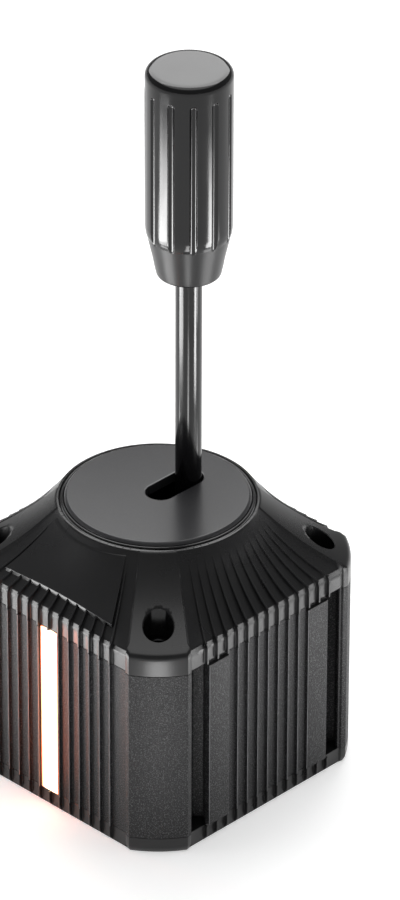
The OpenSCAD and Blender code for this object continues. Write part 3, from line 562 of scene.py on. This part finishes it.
def body_extrusion(material):
    """The ribbed tube, whose flat bands stop below its ribs, with the rear socket's window."""
    loop = outline([slotted_side(), ribbed_side(), slotted_side(), front_side()])
    side, u, w = local_of(loop)
    reach = np.abs(u)
    band = (side % 2 == 0) & (reach < BAND_OUT + 0.01) & (reach > BAND_OUT - BAND_W - 0.01)
    low_w = np.where(band, np.minimum(w, FLOOR), w)
    a = side * pi / 2
    short = np.column_stack([low_w * np.cos(a) - u * np.sin(a), low_w * np.sin(a) + u * np.cos(a)])
    theta = np.linspace(-pi, pi, 240, endpoint=False)
    wall = inner_radius(theta)
    inner = np.column_stack([wall * np.cos(theta), wall * np.sin(theta)])
    bottom, top = BASE_TOP + JOINT_GAP, SEAM - JOINT_GAP
    soft_loop, soft_short = inset(loop, EDGE_SOFT), inset(short, EDGE_SOFT)
    band_top = top - BAND_RELIEF
    rows = [at(soft_loop, bottom), at(loop, bottom + EDGE_SOFT)]
    rows += [at(loop, z) for z in np.linspace(bottom + 4, top - 4, 4)]
    rows += [at(loop, band_top - EDGE_SOFT), at(np.where(band[:, None], soft_loop, loop), band_top),
             at(short, band_top + 0.001), at(short, top - EDGE_SOFT), at(soft_short, top)]
    inner_skin = skin([at(inner, top), at(inner, bottom)])
    ends = [cap([soft_short, inner], top, True), cap([soft_loop, inner], bottom, False)]
    points, faces = joined(skin(rows), inner_skin, *ends)
    obj = piece("body_extrusion_shell", points, faces, material)
    weld(obj)
    socket_z = (low("usb_socket").z + high("usb_socket").z) / 2
    pocket_size = (2.6 * RIB_PITCH, 4 + 2 * RIB_H, 14)
    pocket = block((0, HALF + 2, socket_z), pocket_size, material, 0.6)
    window = block((0, HALF - 4, socket_z), (11.4, 14, 5.7), material, 1.2)
    carve(obj, pocket, window)
    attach(obj, "housing")
    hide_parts("body_extrusion")


def block(centre, size, material, soft):
    """A box with its long edges rounded, along Y."""
    half_x, half_z = size[0] / 2, size[2] / 2
    square = [(-half_x, -half_z), (half_x, -half_z), (half_x, half_z), (-half_x, half_z)]
    loop = softened(square, soft, 4)
    near, far = centre[1] - size[1] / 2, centre[1] + size[1] / 2
    n = len(loop)
    loops = [np.column_stack([loop[:, 0] + centre[0], np.full(n, y), loop[:, 1] + centre[2]])
             for y in (far, near)]
    points, faces = skin(loops)
    faces += [tuple(range(n))[::-1], tuple(range(n, 2 * n))]
    return piece("cutter", points, faces, material)


BASE_ROWS = (0, 0.3, 0.6, 0.9, 1.2, 1.6, 2.1, 3)
SUNK_HOLE = [(0, -0.5), (6.4, -0.5), (6.2, 0), (3.3, 3.5), (3.3, 8), (0, 8)]
TAPPED_HOLE = [(0, -0.5), (3.3, -0.5), (2.5, 0.4), (2.5, 8), (0, 8)]


def bottom_cover(material):
    """The ribbed base plate, drawn in at its lower edge, with the screws' and mounts' holes."""
    loop = outline([ribbed_side()] * 4)
    top = BASE_TOP - JOINT_GAP
    side, u, w = local_of(loop)
    face = (np.abs(u) > FLANK[1] + 0.05)[:, None]
    centre = np.column_stack([np.sign(loop[:, 0]), np.sign(loop[:, 1])]) * LOBE_XY
    out = (loop - centre) / np.linalg.norm(loop - centre, axis=1, keepdims=True)
    a = side * pi / 2

    def drawn_in(z):
        side_w = np.minimum(w, HALF - BASE_CHAMFER + z)
        flat = np.column_stack([side_w * np.cos(a) - u * np.sin(a),
                                side_w * np.sin(a) + u * np.cos(a)])
        draft = CORNER_DRAFT * max(0.0, 1 - z / BASE_ROWS[-1]) ** 1.7
        return at(np.where(face, loop - draft * out, flat), z)

    rows = [drawn_in(z) for z in BASE_ROWS]
    rows += [at(loop, top - EDGE_SOFT), at(inset(loop, EDGE_SOFT), top)]
    points, faces = joined(skin(rows), cap([rows[0]], 0, False), cap([rows[-1]], top, True))
    obj = piece("bottom_cover_plate", points, faces, material)
    weld(obj)
    cutters = []
    for sx, sy in CORNERS:
        for profile, count, centre in ((SUNK_HOLE, 48, (sx * SCREW_XY, sy * SCREW_XY)),
                                       (TAPPED_HOLE, 32, (sx * MOUNT_X, sy * MOUNT_Y))):
            points, faces = turned(profile, count, centre, closed=False)
            cutters.append(piece("cutter", points, faces, material))
    for cutter in cutters:
        weld(cutter)
    carve(obj, *cutters)
    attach(obj, "housing")
    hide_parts("bottom_cover")


def slot_loop(radius):
    """The lever slot's outline at a distance from its centre line."""
    front = LEVER_Y - (DISC_TOP - PIVOT_Z) * tan(PULL)
    a = np.linspace(0, pi, 24)
    rear = np.column_stack([radius * np.cos(a), LEVER_Y + radius * np.sin(a)])
    near = np.column_stack([-radius * np.cos(a), front - radius * np.sin(a)])
    return np.vstack([rear, near])


def top_disc(material):
    """The disc with its bevelled rim and the lever's slot."""
    outer = [(DISC_R - 0.4, DISC_BOTTOM), (DISC_R - 0.3, DISC_BOTTOM), (DISC_R, DISC_BOTTOM + 0.3),
             (DISC_R, DISC_TOP - 1.12), (DISC_R - 0.06, DISC_TOP - 0.98),
             (DISC_R - 0.16, DISC_TOP - 0.86), (DISC_R - 0.98, DISC_TOP - 0.05),
             (DISC_R - 1.12, DISC_TOP), (DISC_R - 1.22, DISC_TOP)]
    slot_profile = [(SLOT_END_R + 0.65, DISC_TOP), (SLOT_END_R + 0.55, DISC_TOP),
                    (SLOT_END_R + 0.2, DISC_TOP - 0.1), (SLOT_END_R + 0.04, DISC_TOP - 0.35),
                    (SLOT_END_R, DISC_TOP - 0.6), (SLOT_END_R, DISC_BOTTOM)]
    rim = [at(circle(r, 192), z) for r, z in outer]
    hole = [at(slot_loop(r), z) for r, z in slot_profile]
    points, faces = joined(skin(rim), skin([h[::-1] for h in hole]),
                           cap([rim[-1], hole[0]], DISC_TOP, True),
                           cap([rim[0], hole[-1]], DISC_BOTTOM, False))
    obj = piece("top_disc_plate", points, faces, material)
    weld(obj)
    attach(obj, "housing")
    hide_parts("top_disc")


def trim_ring(material):
    """The stepped ring with a bead round the disc."""
    inner = DISC_R + 0.15
    bead = 0.55
    bead_r = inner + bead
    profile = [(inner, DISC_BOTTOM + 0.01)]
    for t in np.linspace(pi, 0, 13):
        profile.append((bead_r + bead * cos(t), COLLAR_Z + bead * sin(t) * 0.98))
    step = COLLAR_Z - 0.3
    profile += [(bead_r + bead * 0.98, step), (RING_R - 0.5, step), (RING_R, COLLAR_Z - 0.6),
                (RING_R, DISC_BOTTOM + 0.01)]
    points, faces = turned(profile[::-1], 192)
    obj = piece("trim_ring_bead", points, faces, material)
    weld(obj)
    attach(obj, "housing")
    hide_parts("trim_ring")


SHANK_R = 5.0
SHANK_LEN = 21
SHOULDER_Z = PIVOT_Z + 37.5


def lever_rod(material):
    """The rod with a thinner shank at each end."""
    foot, top = low("lever_rod").z, high("lever_rod").z
    neck = top - SHANK_LEN
    profile = [(0, foot), (4.3, foot), (SHANK_R, foot + 0.8), (SHANK_R, SHOULDER_Z),
               (ROD_R - 0.3, SHOULDER_Z), (ROD_R, SHOULDER_Z + 0.3), (ROD_R, neck - 0.3),
               (ROD_R - 0.3, neck), (SHANK_R, neck), (SHANK_R, top - 0.6), (4.5, top), (0, top)]
    points, faces = turned(profile, 96, (0, LEVER_Y), False)
    obj = piece("lever_rod_bar", points, faces, material)
    weld(obj)
    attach(obj, "lever")
    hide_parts("lever_rod")


FLUTES = 12
FLUTE_W = 3.0
FLUTE_DEEP = 1.1
FLUTE_TURN = radians(-39.8)
FLUTE_START = 7.6
FLUTE_STOP = 16.0
TAPER_LEN = 20.8
FLUTE_SOFT = 0.16
NO_FLUTE = 99.0
FINE_STEP = 0.11


def handle_profile():
    """Radii and heights of the handle without its flutes."""
    taper = [(12.2, 0), (12.6, 0.15), (12.85, 0.6), (13.6, 4.2), (14.4, 8.6), (15.4, 13),
             (16.3, 17), (16.95, 19.2), (HANDLE_R, TAPER_LEN + 1)]
    crown = [(HANDLE_R, 2.95), (17.02, 1.95), (16.45, 1.03), (15.6, 0.38), (14.4, 0.03), (13.2, 0)]
    points = [(r, HANDLE_FOOT + z) for r, z in taper] + [(r, HANDLE_TOP - z) for r, z in crown]
    return softened(points, 0.8, 4, least_turn=4, closed=False)


def handle(material):
    """The fluted sleeve, from loops that lie close together where the flutes start and end."""
    profile = handle_profile()
    sector = 2 * pi / FLUTES
    edge = np.arcsin(FLUTE_W / 2 / HANDLE_R)
    near = np.linspace(edge * 0.82, edge * 1.22, 9)
    half_sector = np.concatenate([np.linspace(0, edge * 0.74, 5), near,
                                  np.linspace(edge * 1.5, sector / 2, 7)])
    part = np.concatenate([-half_sector[:0:-1], half_sector[:-1]])
    phi = np.concatenate([part + i * sector for i in range(FLUTES)])
    off = np.tile(part, FLUTES)
    cutter_r = (FLUTE_W**2 / 4 + FLUTE_DEEP**2) / 2 / FLUTE_DEEP
    centre = HANDLE_R - FLUTE_DEEP + cutter_r
    flute_low = HANDLE_FOOT + FLUTE_STOP + FLUTE_W / 2
    flute_high = HANDLE_TOP - FLUTE_START - FLUTE_W / 2
    heights = np.unique(np.round(np.concatenate([
        profile[:, 1], np.arange(flute_low - 2.4, flute_low + 3.4, FINE_STEP),
        np.arange(flute_high - 0.6, flute_high + 1.9, FINE_STEP),
        np.linspace(flute_low, flute_high, 14)]), 3))
    count = len(phi)
    angle = phi + FLUTE_TURN

    def ring(radius, z):
        return np.column_stack([radius * np.cos(angle), LEVER_Y + radius * np.sin(angle),
                                np.full(count, z)])

    loops = []
    for z in heights:
        radius = np.interp(z, profile[:, 1], profile[:, 0])
        beyond = max(0.0, z - flute_high, flute_low - z)
        room = cutter_r**2 - (centre * np.sin(off)) ** 2 - beyond**2
        flute = np.where(room > 0, centre * np.cos(off) - np.sqrt(np.maximum(room, 0)), NO_FLUTE)
        share = np.clip(0.5 + 0.5 * (flute - radius) / FLUTE_SOFT, 0, 1)
        blend = flute * (1 - share) + radius * share
        loops.append(ring(blend - FLUTE_SOFT * share * (1 - share), z))
    foot = [ring(r, HANDLE_FOOT + z) for r, z in (
        (5.36, 60), (5.36, 1.6), (5.6, 1.2), (5.6, 0.3), (5.9, 0), (9.0, 0), (11.6, 0))]
    crown = [ring(r, HANDLE_TOP) for r in (11.5, 8, 4)]
    loops = foot + loops + crown
    points, faces = skin(loops)
    faces += [tuple(range(count))[::-1], tuple(range(len(points) - count, len(points)))]
    obj = piece("handle_sleeve", points, faces, material)
    weld(obj)
    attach(obj, "lever")
    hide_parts("handle")


def light_bar(material):
    """The light bar's lens, with rounded edges."""
    lo, hi = low("light_bar"), high("light_bar")
    half_w, front, back = hi.x, lo.y, -FLOOR + JOINT_GAP
    square = [(-half_w, back), (-half_w, front), (half_w, front), (half_w, back)]
    loop = softened(square, 0.35, 4)
    end = inset(loop, 0.12)
    points, faces = joined(
        skin([at(end, lo.z), at(loop, lo.z + 0.15), at(loop, hi.z - 0.15), at(end, hi.z)]),
        cap([end], lo.z, False), cap([end], hi.z, True))
    obj = piece("light_bar_lens", points, faces, material)
    weld(obj)
    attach(obj, "housing")
    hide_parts("light_bar")


def cover_screws(material):
    """Socket cap screws deep in the counterbores."""
    tip, head = low("cover_screws").z, high("cover_screws").z
    profile = [(0, tip), (2.6, tip), (2.98, SCREW_SEAT - 15.4), (2.98, SCREW_SEAT),
               (5.0, SCREW_SEAT), (5.0, head - 0.6), (4.85, head - 0.2), (4.5, head),
               (3.0, head), (2.55, head - 0.35), (2.5, head - 2.2), (0, head - 2.2)]
    centres = [(sx * SCREW_XY, sy * SCREW_XY) for sx, sy in CORNERS]
    points, faces = joined(*[turned(profile, 48, centre, False) for centre in centres])
    obj = piece("cover_screw_set", points, faces, material)
    weld(obj)
    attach(obj, "housing")
    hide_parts("cover_screws")


# Materials


BLACK = (0.004, 0.004, 0.0045)
COAT_SPECULAR = 0.42
GLOSS_RANGE = (0.10, 0.17)
TAPER_ROUGHNESS = 0.30
# Colour of the painted highlight on the bevels of the rib tips
RIB_EDGE_HIGHLIGHT = (0.30, 0.30, 0.31)
RIB_TIP_DEPTH = 0.25
RIB_TIP_FADE = 0.1


def shader(name, colour, roughness, metallic=0.0, specular=0.5):
    """A material with its node tree and its shader."""
    mat = bpy.data.materials.new(name)
    mat.use_nodes = True
    bsdf = mat.node_tree.nodes["Principled BSDF"]
    bsdf.inputs["Base Color"].default_value = (*colour, 1)
    bsdf.inputs["Roughness"].default_value = roughness
    bsdf.inputs["Metallic"].default_value = metallic
    bsdf.inputs["Specular IOR Level"].default_value = specular
    return mat, mat.node_tree, bsdf


def noise(tree, scale, detail, stretch=(1, 1, 1)):
    """Noise in the object's own coordinates, scale in cells per metre."""
    coords = tree.nodes.new("ShaderNodeTexCoord")
    mapping = tree.nodes.new("ShaderNodeMapping")
    mapping.inputs["Scale"].default_value = stretch
    tex = tree.nodes.new("ShaderNodeTexNoise")
    tex.inputs["Scale"].default_value = scale
    tex.inputs["Detail"].default_value = detail
    tree.links.new(coords.outputs["Object"], mapping.inputs["Vector"])
    tree.links.new(mapping.outputs["Vector"], tex.inputs["Vector"])
    return tex.outputs["Fac"]


def spread(tree, value, low_out, high_out, low_in=0.3, high_in=0.7):
    """A value mapped from one range to another."""
    ramp = tree.nodes.new("ShaderNodeMapRange")
    ramp.inputs["From Min"].default_value = low_in
    ramp.inputs["From Max"].default_value = high_in
    ramp.inputs["To Min"].default_value = low_out
    ramp.inputs["To Max"].default_value = high_out
    tree.links.new(value, ramp.inputs["Value"])
    return ramp.outputs["Result"]


def tint(tree, value, dark, light):
    """A colour between two others, of which the first may be a link."""
    mix = tree.nodes.new("ShaderNodeMix")
    mix.data_type = "RGBA"
    if isinstance(dark, tuple):
        mix.inputs["A"].default_value = (*dark, 1)
    else:
        tree.links.new(dark, mix.inputs["A"])
    mix.inputs["B"].default_value = (*light, 1)
    tree.links.new(value, mix.inputs["Factor"])
    return mix.outputs["Result"]


def bump(tree, bsdf, height, distance):
    """Relief from a height, as deep as the distance in metres."""
    node = tree.nodes.new("ShaderNodeBump")
    node.inputs["Distance"].default_value = distance
    node.inputs["Strength"].default_value = 1.0
    tree.links.new(height, node.inputs["Height"])
    tree.links.new(node.outputs["Normal"], bsdf.inputs["Normal"])


def calc(tree, operation, *values):
    """A math node with links or numbers as its inputs."""
    node = tree.nodes.new("ShaderNodeMath")
    node.operation = operation
    for socket, value in zip(node.inputs, values):
        if isinstance(value, (int, float)):
            socket.default_value = value
        else:
            tree.links.new(value, socket)
    return node.outputs["Value"]


def own_place(tree, output="Object"):
    """X, Y and Z of the place, or of the normal, in the object's own coordinates."""
    coords = tree.nodes.new("ShaderNodeTexCoord")
    parts = tree.nodes.new("ShaderNodeSeparateXYZ")
    tree.links.new(coords.outputs[output], parts.inputs["Vector"])
    return parts.outputs


def glossy(name):
    """A black gloss, with its uneven roughness not yet linked."""
    mat, tree, bsdf = shader(name, BLACK, 0.13, specular=COAT_SPECULAR)
    bump(tree, bsdf, noise(tree, 700, 2), 0.000004)
    return mat, tree, bsdf, spread(tree, noise(tree, 55, 4), *GLOSS_RANGE)


def gloss_black():
    """Gloss for the rod and the ring."""
    mat, tree, bsdf, gloss = glossy("gloss_black")
    tree.links.new(gloss, bsdf.inputs["Roughness"])
    return mat


def handle_black():
    """Gloss on the fluted sleeve, and a duller finish on the taper below it."""
    mat, tree, bsdf, gloss = glossy("handle_black")
    edge = (HANDLE_FOOT + TAPER_FINISH) * MM
    above = spread(tree, own_place(tree)["Z"], 0, 1, edge - 0.2 * MM, edge + 0.2 * MM)
    mix = tree.nodes.new("ShaderNodeMix")
    mix.inputs["A"].default_value = TAPER_ROUGHNESS
    tree.links.new(above, mix.inputs["Factor"])
    tree.links.new(gloss, mix.inputs["B"])
    tree.links.new(mix.outputs["Result"], bsdf.inputs["Roughness"])
    return mat


def satin(name, colour, dark, light, scale, wide_scale, roughness, gloss_range, relief):
    """A satin coat with a fine grain, and a roughness that varies widely."""
    mat, tree, bsdf = shader(name, colour, roughness, specular=COAT_SPECULAR)
    fine = noise(tree, scale, 3)
    tree.links.new(spread(tree, noise(tree, wide_scale, 4), *gloss_range), bsdf.inputs["Roughness"])
    tree.links.new(tint(tree, fine, dark, light), bsdf.inputs["Base Color"])
    bump(tree, bsdf, fine, relief)
    return mat


def satin_black():
    """The covers' coat."""
    return satin("satin_black", (0.008, 0.008, 0.0085), (0.0065, 0.0065, 0.007),
                 (0.0105, 0.0105, 0.011), scale=1800, wide_scale=40, roughness=0.29,
                 gloss_range=(0.25, 0.32), relief=0.000012)


def rib_highlight_mask(tree):
    """One on the bevelled edges of the rib tips, where a pale painted highlight goes, and zero
    elsewhere.
    """
    normal = own_place(tree, "Normal")
    place = own_place(tree)
    turned_side = calc(tree, "ABSOLUTE", calc(tree, "MULTIPLY", normal["X"], normal["Y"]))
    outward = calc(tree, "MAXIMUM", calc(tree, "ABSOLUTE", place["X"]),
                   calc(tree, "ABSOLUTE", place["Y"]))
    tip = (HALF - RIB_TIP_DEPTH) * MM
    return calc(tree, "MULTIPLY", spread(tree, turned_side, 0, 1, 0.12, 0.3),
                spread(tree, outward, 0, 1, tip, tip + RIB_TIP_FADE * MM))


def textured_black():
    """The body's coat, with pale flecks and a painted highlight on the rib edges."""
    mat, tree, bsdf = shader("textured_black", (0.02, 0.02, 0.02), 0.5, specular=0.32)
    grain = noise(tree, 1900, 2)
    fleck = spread(tree, noise(tree, 2300, 1), 0, 1, 0.53, 0.70)
    coat = tint(tree, fleck, (0.003, 0.003, 0.0035), (0.07, 0.07, 0.073))
    # Painted highlight: a pale colour on the bevels of the rib tips, in place of the light they
    # catch
    coat = tint(tree, rib_highlight_mask(tree), coat, RIB_EDGE_HIGHLIGHT)
    tree.links.new(coat, bsdf.inputs["Base Color"])
    tree.links.new(spread(tree, grain, 0.40, 0.62), bsdf.inputs["Roughness"])
    bump(tree, bsdf, grain, 0.0002)
    return mat


def satin_disc():
    """The top disc's finish."""
    return satin("satin_disc", (0.03, 0.03, 0.032), (0.026, 0.026, 0.028),
                 (0.036, 0.036, 0.038), scale=2200, wide_scale=30, roughness=0.24,
                 gloss_range=(0.22, 0.26), relief=0.000008)


def vary(tree, bsdf, pattern, colour, roughness, least, most):
    """Lets a pattern vary a plain material's roughness and darken its colour in places."""
    darker = tuple(0.85 * c for c in colour)
    tree.links.new(spread(tree, pattern, roughness * least, roughness * most),
                   bsdf.inputs["Roughness"])
    tree.links.new(tint(tree, pattern, darker, colour), bsdf.inputs["Base Color"])


def plain_metal(name, colour, roughness):
    """A metal with streaks along Z."""
    mat, tree, bsdf = shader(name, colour, roughness, metallic=1.0)
    vary(tree, bsdf, noise(tree, 300, 4, (1, 1, 0.15)), colour, roughness, 0.8, 1.25)
    return mat


def plain_plastic(name, colour, roughness, grain=900):
    """A plastic with a fine grain."""
    mat, tree, bsdf = shader(name, colour, roughness)
    fine = noise(tree, grain, 3)
    vary(tree, bsdf, fine, colour, roughness, 0.85, 1.15)
    bump(tree, bsdf, fine, 0.00001)
    return mat


GLOW_CORE = (1.0, 0.62, 0.36)
GLOW_EDGE = (1.0, 0.17, 0.03)
GLOW_STRENGTH = (6.0, 1.6)


def glowing_lens():
    """The lit light guide: white-hot in the middle, orange towards its edges."""
    mat, tree, bsdf = shader("glowing_lens", (0.9, 0.8, 0.7), 0.3)
    across = calc(tree, "ABSOLUTE", own_place(tree)["X"])
    half_w = high("light_bar").x * MM
    core = half_w * 0.45
    outer = spread(tree, across, 0, 1, core, half_w * 0.92)
    tree.links.new(tint(tree, outer, GLOW_CORE, GLOW_EDGE), bsdf.inputs["Emission Color"])
    tree.links.new(spread(tree, across, *GLOW_STRENGTH, core, half_w),
                   bsdf.inputs["Emission Strength"])
    return mat


def material_slots():
    """The material slot of each CAD node."""
    return {s["node"]: s["material_slot"] for s in frame["record"]["subparts"]}


def dress_inner_nodes():
    """Materials for the CAD nodes that stay as they are."""
    steel = plain_metal("turned_steel", (0.55, 0.55, 0.57), 0.28)
    dark_steel = plain_metal("black_oxide", (0.05, 0.05, 0.052), 0.38)
    spring = plain_metal("spring_steel", (0.4, 0.4, 0.42), 0.3)
    alloy = plain_metal("machined_alloy", (0.5, 0.5, 0.52), 0.32)
    brass = plain_metal("turned_brass", (0.72, 0.5, 0.2), 0.3)
    frame_black = plain_plastic("frame_coat", (0.02, 0.02, 0.021), 0.5)
    rubber = plain_plastic("black_rubber", (0.015, 0.015, 0.015), 0.75, 500)
    elastomer = plain_plastic("orange_elastomer", (0.7, 0.18, 0.04), 0.45, 500)
    board = plain_plastic("board_lacquer", (0.015, 0.11, 0.05), 0.35, 400)
    chip = plain_plastic("chip_resin", (0.02, 0.02, 0.02), 0.55)
    diode = plain_plastic("diode_resin", (0.85, 0.75, 0.4), 0.3)
    looks = {
        "steel": steel, "dark_screws": dark_steel, "spring_steel": spring,
        "bearing_steel": steel, "hub_alloy": alloy, "cell_steel": steel, "brass": brass,
        "frame_black": frame_black, "black_rubber": rubber, "elastomer_orange": elastomer,
        "green_board": board, "chip_black": chip, "diode_yellow": diode, "socket_shell": steel}
    slots = material_slots()
    for name, obj in frame["nodes"].items():
        if slots.get(name) in looks:
            obj.data.materials.clear()
            obj.data.materials.append(looks[slots[name]])


def yielding_pieces():
    """Copies of the spring and the rubber rings with meshes of their own, attached to the housing
    in place of the CAD nodes.
    """
    for node, joint in (("return_spring", "plunger_slide"), ("elastomer_rings", "washer_slide")):
        obj = bpy.data.objects.new(f"{node}_yielding", frame["nodes"][node].data.copy())
        bpy.context.scene.collection.objects.link(obj)
        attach(obj, "housing")
        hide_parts(node)
        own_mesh(obj)


# Light, floor and camera


def toward(azimuth, elevation=0.0):
    """Direction from the object, at an azimuth to the right of the camera's and an elevation."""
    a = VIEW_AZIMUTH + azimuth
    return Vector((sin(a) * cos(elevation), -cos(a) * cos(elevation), sin(elevation)))


def aim(obj, direction):
    """Turns a lamp or the camera to look along a direction."""
    obj.rotation_mode = "QUATERNION"
    obj.rotation_quaternion = direction.to_track_quat("-Z", "Y")


def lamp(name, place, target, size, radiance, colour=(1, 1, 1)):
    """A soft rectangular lamp whose face has the given radiance."""
    data = bpy.data.lights.new(name, "AREA")
    data.shape = "RECTANGLE"
    data.size, data.size_y = size
    data.energy = radiance * pi * size[0] * size[1]
    data.color = colour
    obj = bpy.data.objects.new(name, data)
    bpy.context.scene.collection.objects.link(obj)
    obj.location = place
    aim(obj, Vector(target) - Vector(place))
    obj.visible_camera = False


# Places and sizes in metres. The levels are each lamp's radiance.
UP = Vector((0, 0, 1))
BACK_PANEL = 4.0
BACK_PANEL_BEHIND = 0.5
BACK_PANEL_HEIGHT = 0.76
BACK_PANEL_TARGET = (0, 0, 0.3)
BACK_PANEL_SIZE = (0.7, 0.5)
# Panels on the floor: azimuth, nearest and farthest reach, width, level
FLOOR_PANELS = {
    "left_panel": (radians(-68), 0.20, 0.47, 0.22, 14.0),
    "right_panel": (radians(60), 0.20, 0.47, 0.10, 20.0),
    "front_strip": (0, 0.12, 0.29, 0.05, 9.0)}
FLOOR_LIFT = 0.003
FLOOR_LEAN = 0.05
# Panels for the rib caps: side, level
CAP_PANELS = {"left": (-1, 7.5), "right": (1, 4.2)}
CAP_PANEL_SIZE = (0.13, 0.05)
LOW_ACROSS = 0.185
LOW_FORWARD = 0.044
STANDING_ACROSS = 0.24
STANDING_FORWARD = 0.078
STANDING_HEIGHT = 0.08
STANDING_TURN = radians(82)
STANDING_SHARE = 1.3
DAYLIGHT = 1.3
DAYLIGHT_ANGLE = radians(60)
DAYLIGHT_ELEVATION = radians(75)
BAR_GLOW = 13.0
BAR_GLOW_Y = -0.073
BAR_GLOW_Z = 0.045
BAR_GLOW_SIZE = (0.006, 0.07)
WORLD_LEVEL = 0.22


def floor_panel(name, azimuth, near, far, width, radiance):
    """A lamp that lies on the floor, faces up and leans a little toward the object."""
    out = toward(azimuth)
    place = out * ((near + far) / 2) + UP * FLOOR_LIFT
    lamp(name, place, place + UP - out * FLOOR_LEAN, (width, far - near), radiance)


def cap_panels(name, side, radiance):
    """A panel on the floor and one that stands, both seen by the rib caps of one front face."""
    across, forward = toward(pi / 2 * side), toward(0)
    place = across * LOW_ACROSS + forward * LOW_FORWARD + UP * FLOOR_LIFT
    target = place + UP - toward(pi / 4 * side) * FLOOR_LEAN
    lamp(f"{name}_low_panel", place, target, CAP_PANEL_SIZE, radiance)
    place = across * STANDING_ACROSS + forward * STANDING_FORWARD + UP * STANDING_HEIGHT
    target = place - toward(STANDING_TURN * side)
    lamp(f"{name}_standing_panel", place, target, CAP_PANEL_SIZE, STANDING_SHARE * radiance)


def daylight():
    """A broad soft light from high behind, the same all over the floor."""
    data = bpy.data.lights.new("daylight", "SUN")
    data.energy = DAYLIGHT
    data.angle = DAYLIGHT_ANGLE
    obj = bpy.data.objects.new("daylight", data)
    bpy.context.scene.collection.objects.link(obj)
    aim(obj, -toward(pi, DAYLIGHT_ELEVATION))


def studio():
    """All lamps, the world and the floor."""
    place = toward(pi) * BACK_PANEL_BEHIND + UP * BACK_PANEL_HEIGHT
    lamp("back_panel", place, BACK_PANEL_TARGET, BACK_PANEL_SIZE, BACK_PANEL)
    for name, panel in FLOOR_PANELS.items():
        floor_panel(name, *panel)
    for name, (side, radiance) in CAP_PANELS.items():
        cap_panels(name, side, radiance)
    lamp("light_bar_glow", (0, BAR_GLOW_Y, BAR_GLOW_Z), (0, 0, BAR_GLOW_Z), BAR_GLOW_SIZE,
         BAR_GLOW, colour=GLOW_EDGE)
    daylight()
    world()
    floor()


def world():
    """Dim plain surroundings above the pale floor."""
    made = bpy.data.worlds.new("studio")
    bpy.context.scene.world = made
    made.use_nodes = True
    back = made.node_tree.nodes["Background"]
    back.inputs["Color"].default_value = (1, 1, 1, 1)
    back.inputs["Strength"].default_value = WORLD_LEVEL


FLOOR_R = 30000.0
FLOOR_Z = -0.02
WALL_H = 4000.0
FLOOR_COLOUR = (0.82, 0.82, 0.82)
FLOOR_SEEN = 0.45


def floor():
    """A pale floor and far wall, white to camera and reflections, with the object's shadow."""
    profile = [(r, FLOOR_Z) for r in (0, 400, 4000, FLOOR_R)] + [(FLOOR_R, WALL_H)]
    points, faces = turned(profile, 64, closed=False)
    mat, tree, bsdf = shader("pale_floor", FLOOR_COLOUR, 0.9, specular=0.1)
    path = tree.nodes.new("ShaderNodeLightPath")
    seen = calc(tree, "MAXIMUM", path.outputs["Is Camera Ray"], path.outputs["Is Glossy Ray"])
    seen = calc(tree, "MAXIMUM", seen, path.outputs["Is Transmission Ray"])
    tree.links.new(spread(tree, seen, 0, FLOOR_SEEN, 0, 1), bsdf.inputs["Emission Strength"])
    bsdf.inputs["Emission Color"].default_value = (1, 1, 1, 1)
    ground = piece("floor", points, faces, mat)
    weld(ground)


def camera():
    """The camera that was fitted to the photograph."""
    data = bpy.data.cameras.new("camera")
    data.sensor_fit = "AUTO"
    data.sensor_width = 36.0
    data.lens = FOCAL_PIXELS * data.sensor_width / PHOTO_H
    data.shift_x = (PHOTO_W / 2 - TARGET_PIXEL[0]) / PHOTO_H
    data.shift_y = (TARGET_PIXEL[1] - PHOTO_H / 2) / PHOTO_H
    data.clip_end = 200
    obj = bpy.data.objects.new("camera", data)
    bpy.context.scene.collection.objects.link(obj)
    back = toward(0, VIEW_ELEVATION)
    obj.location = VIEW_TARGET + back * VIEW_DISTANCE
    aim(obj, -back)
    bpy.context.scene.camera = obj


camera()
gloss_coat = gloss_black()
cover_coat = satin_black()
handle(handle_black())
lever_rod(gloss_coat)
top_disc(satin_disc())
trim_ring(gloss_coat)
top_cover(cover_coat)
cover_screws(plain_metal("screw_oxide", (0.035, 0.035, 0.036), 0.35))
body_extrusion(textured_black())
bottom_cover(cover_coat)
light_bar(glowing_lens())
dress_inner_nodes()
yielding_pieces()
studio()

bpy.context.scene.view_settings.view_transform = "Standard"
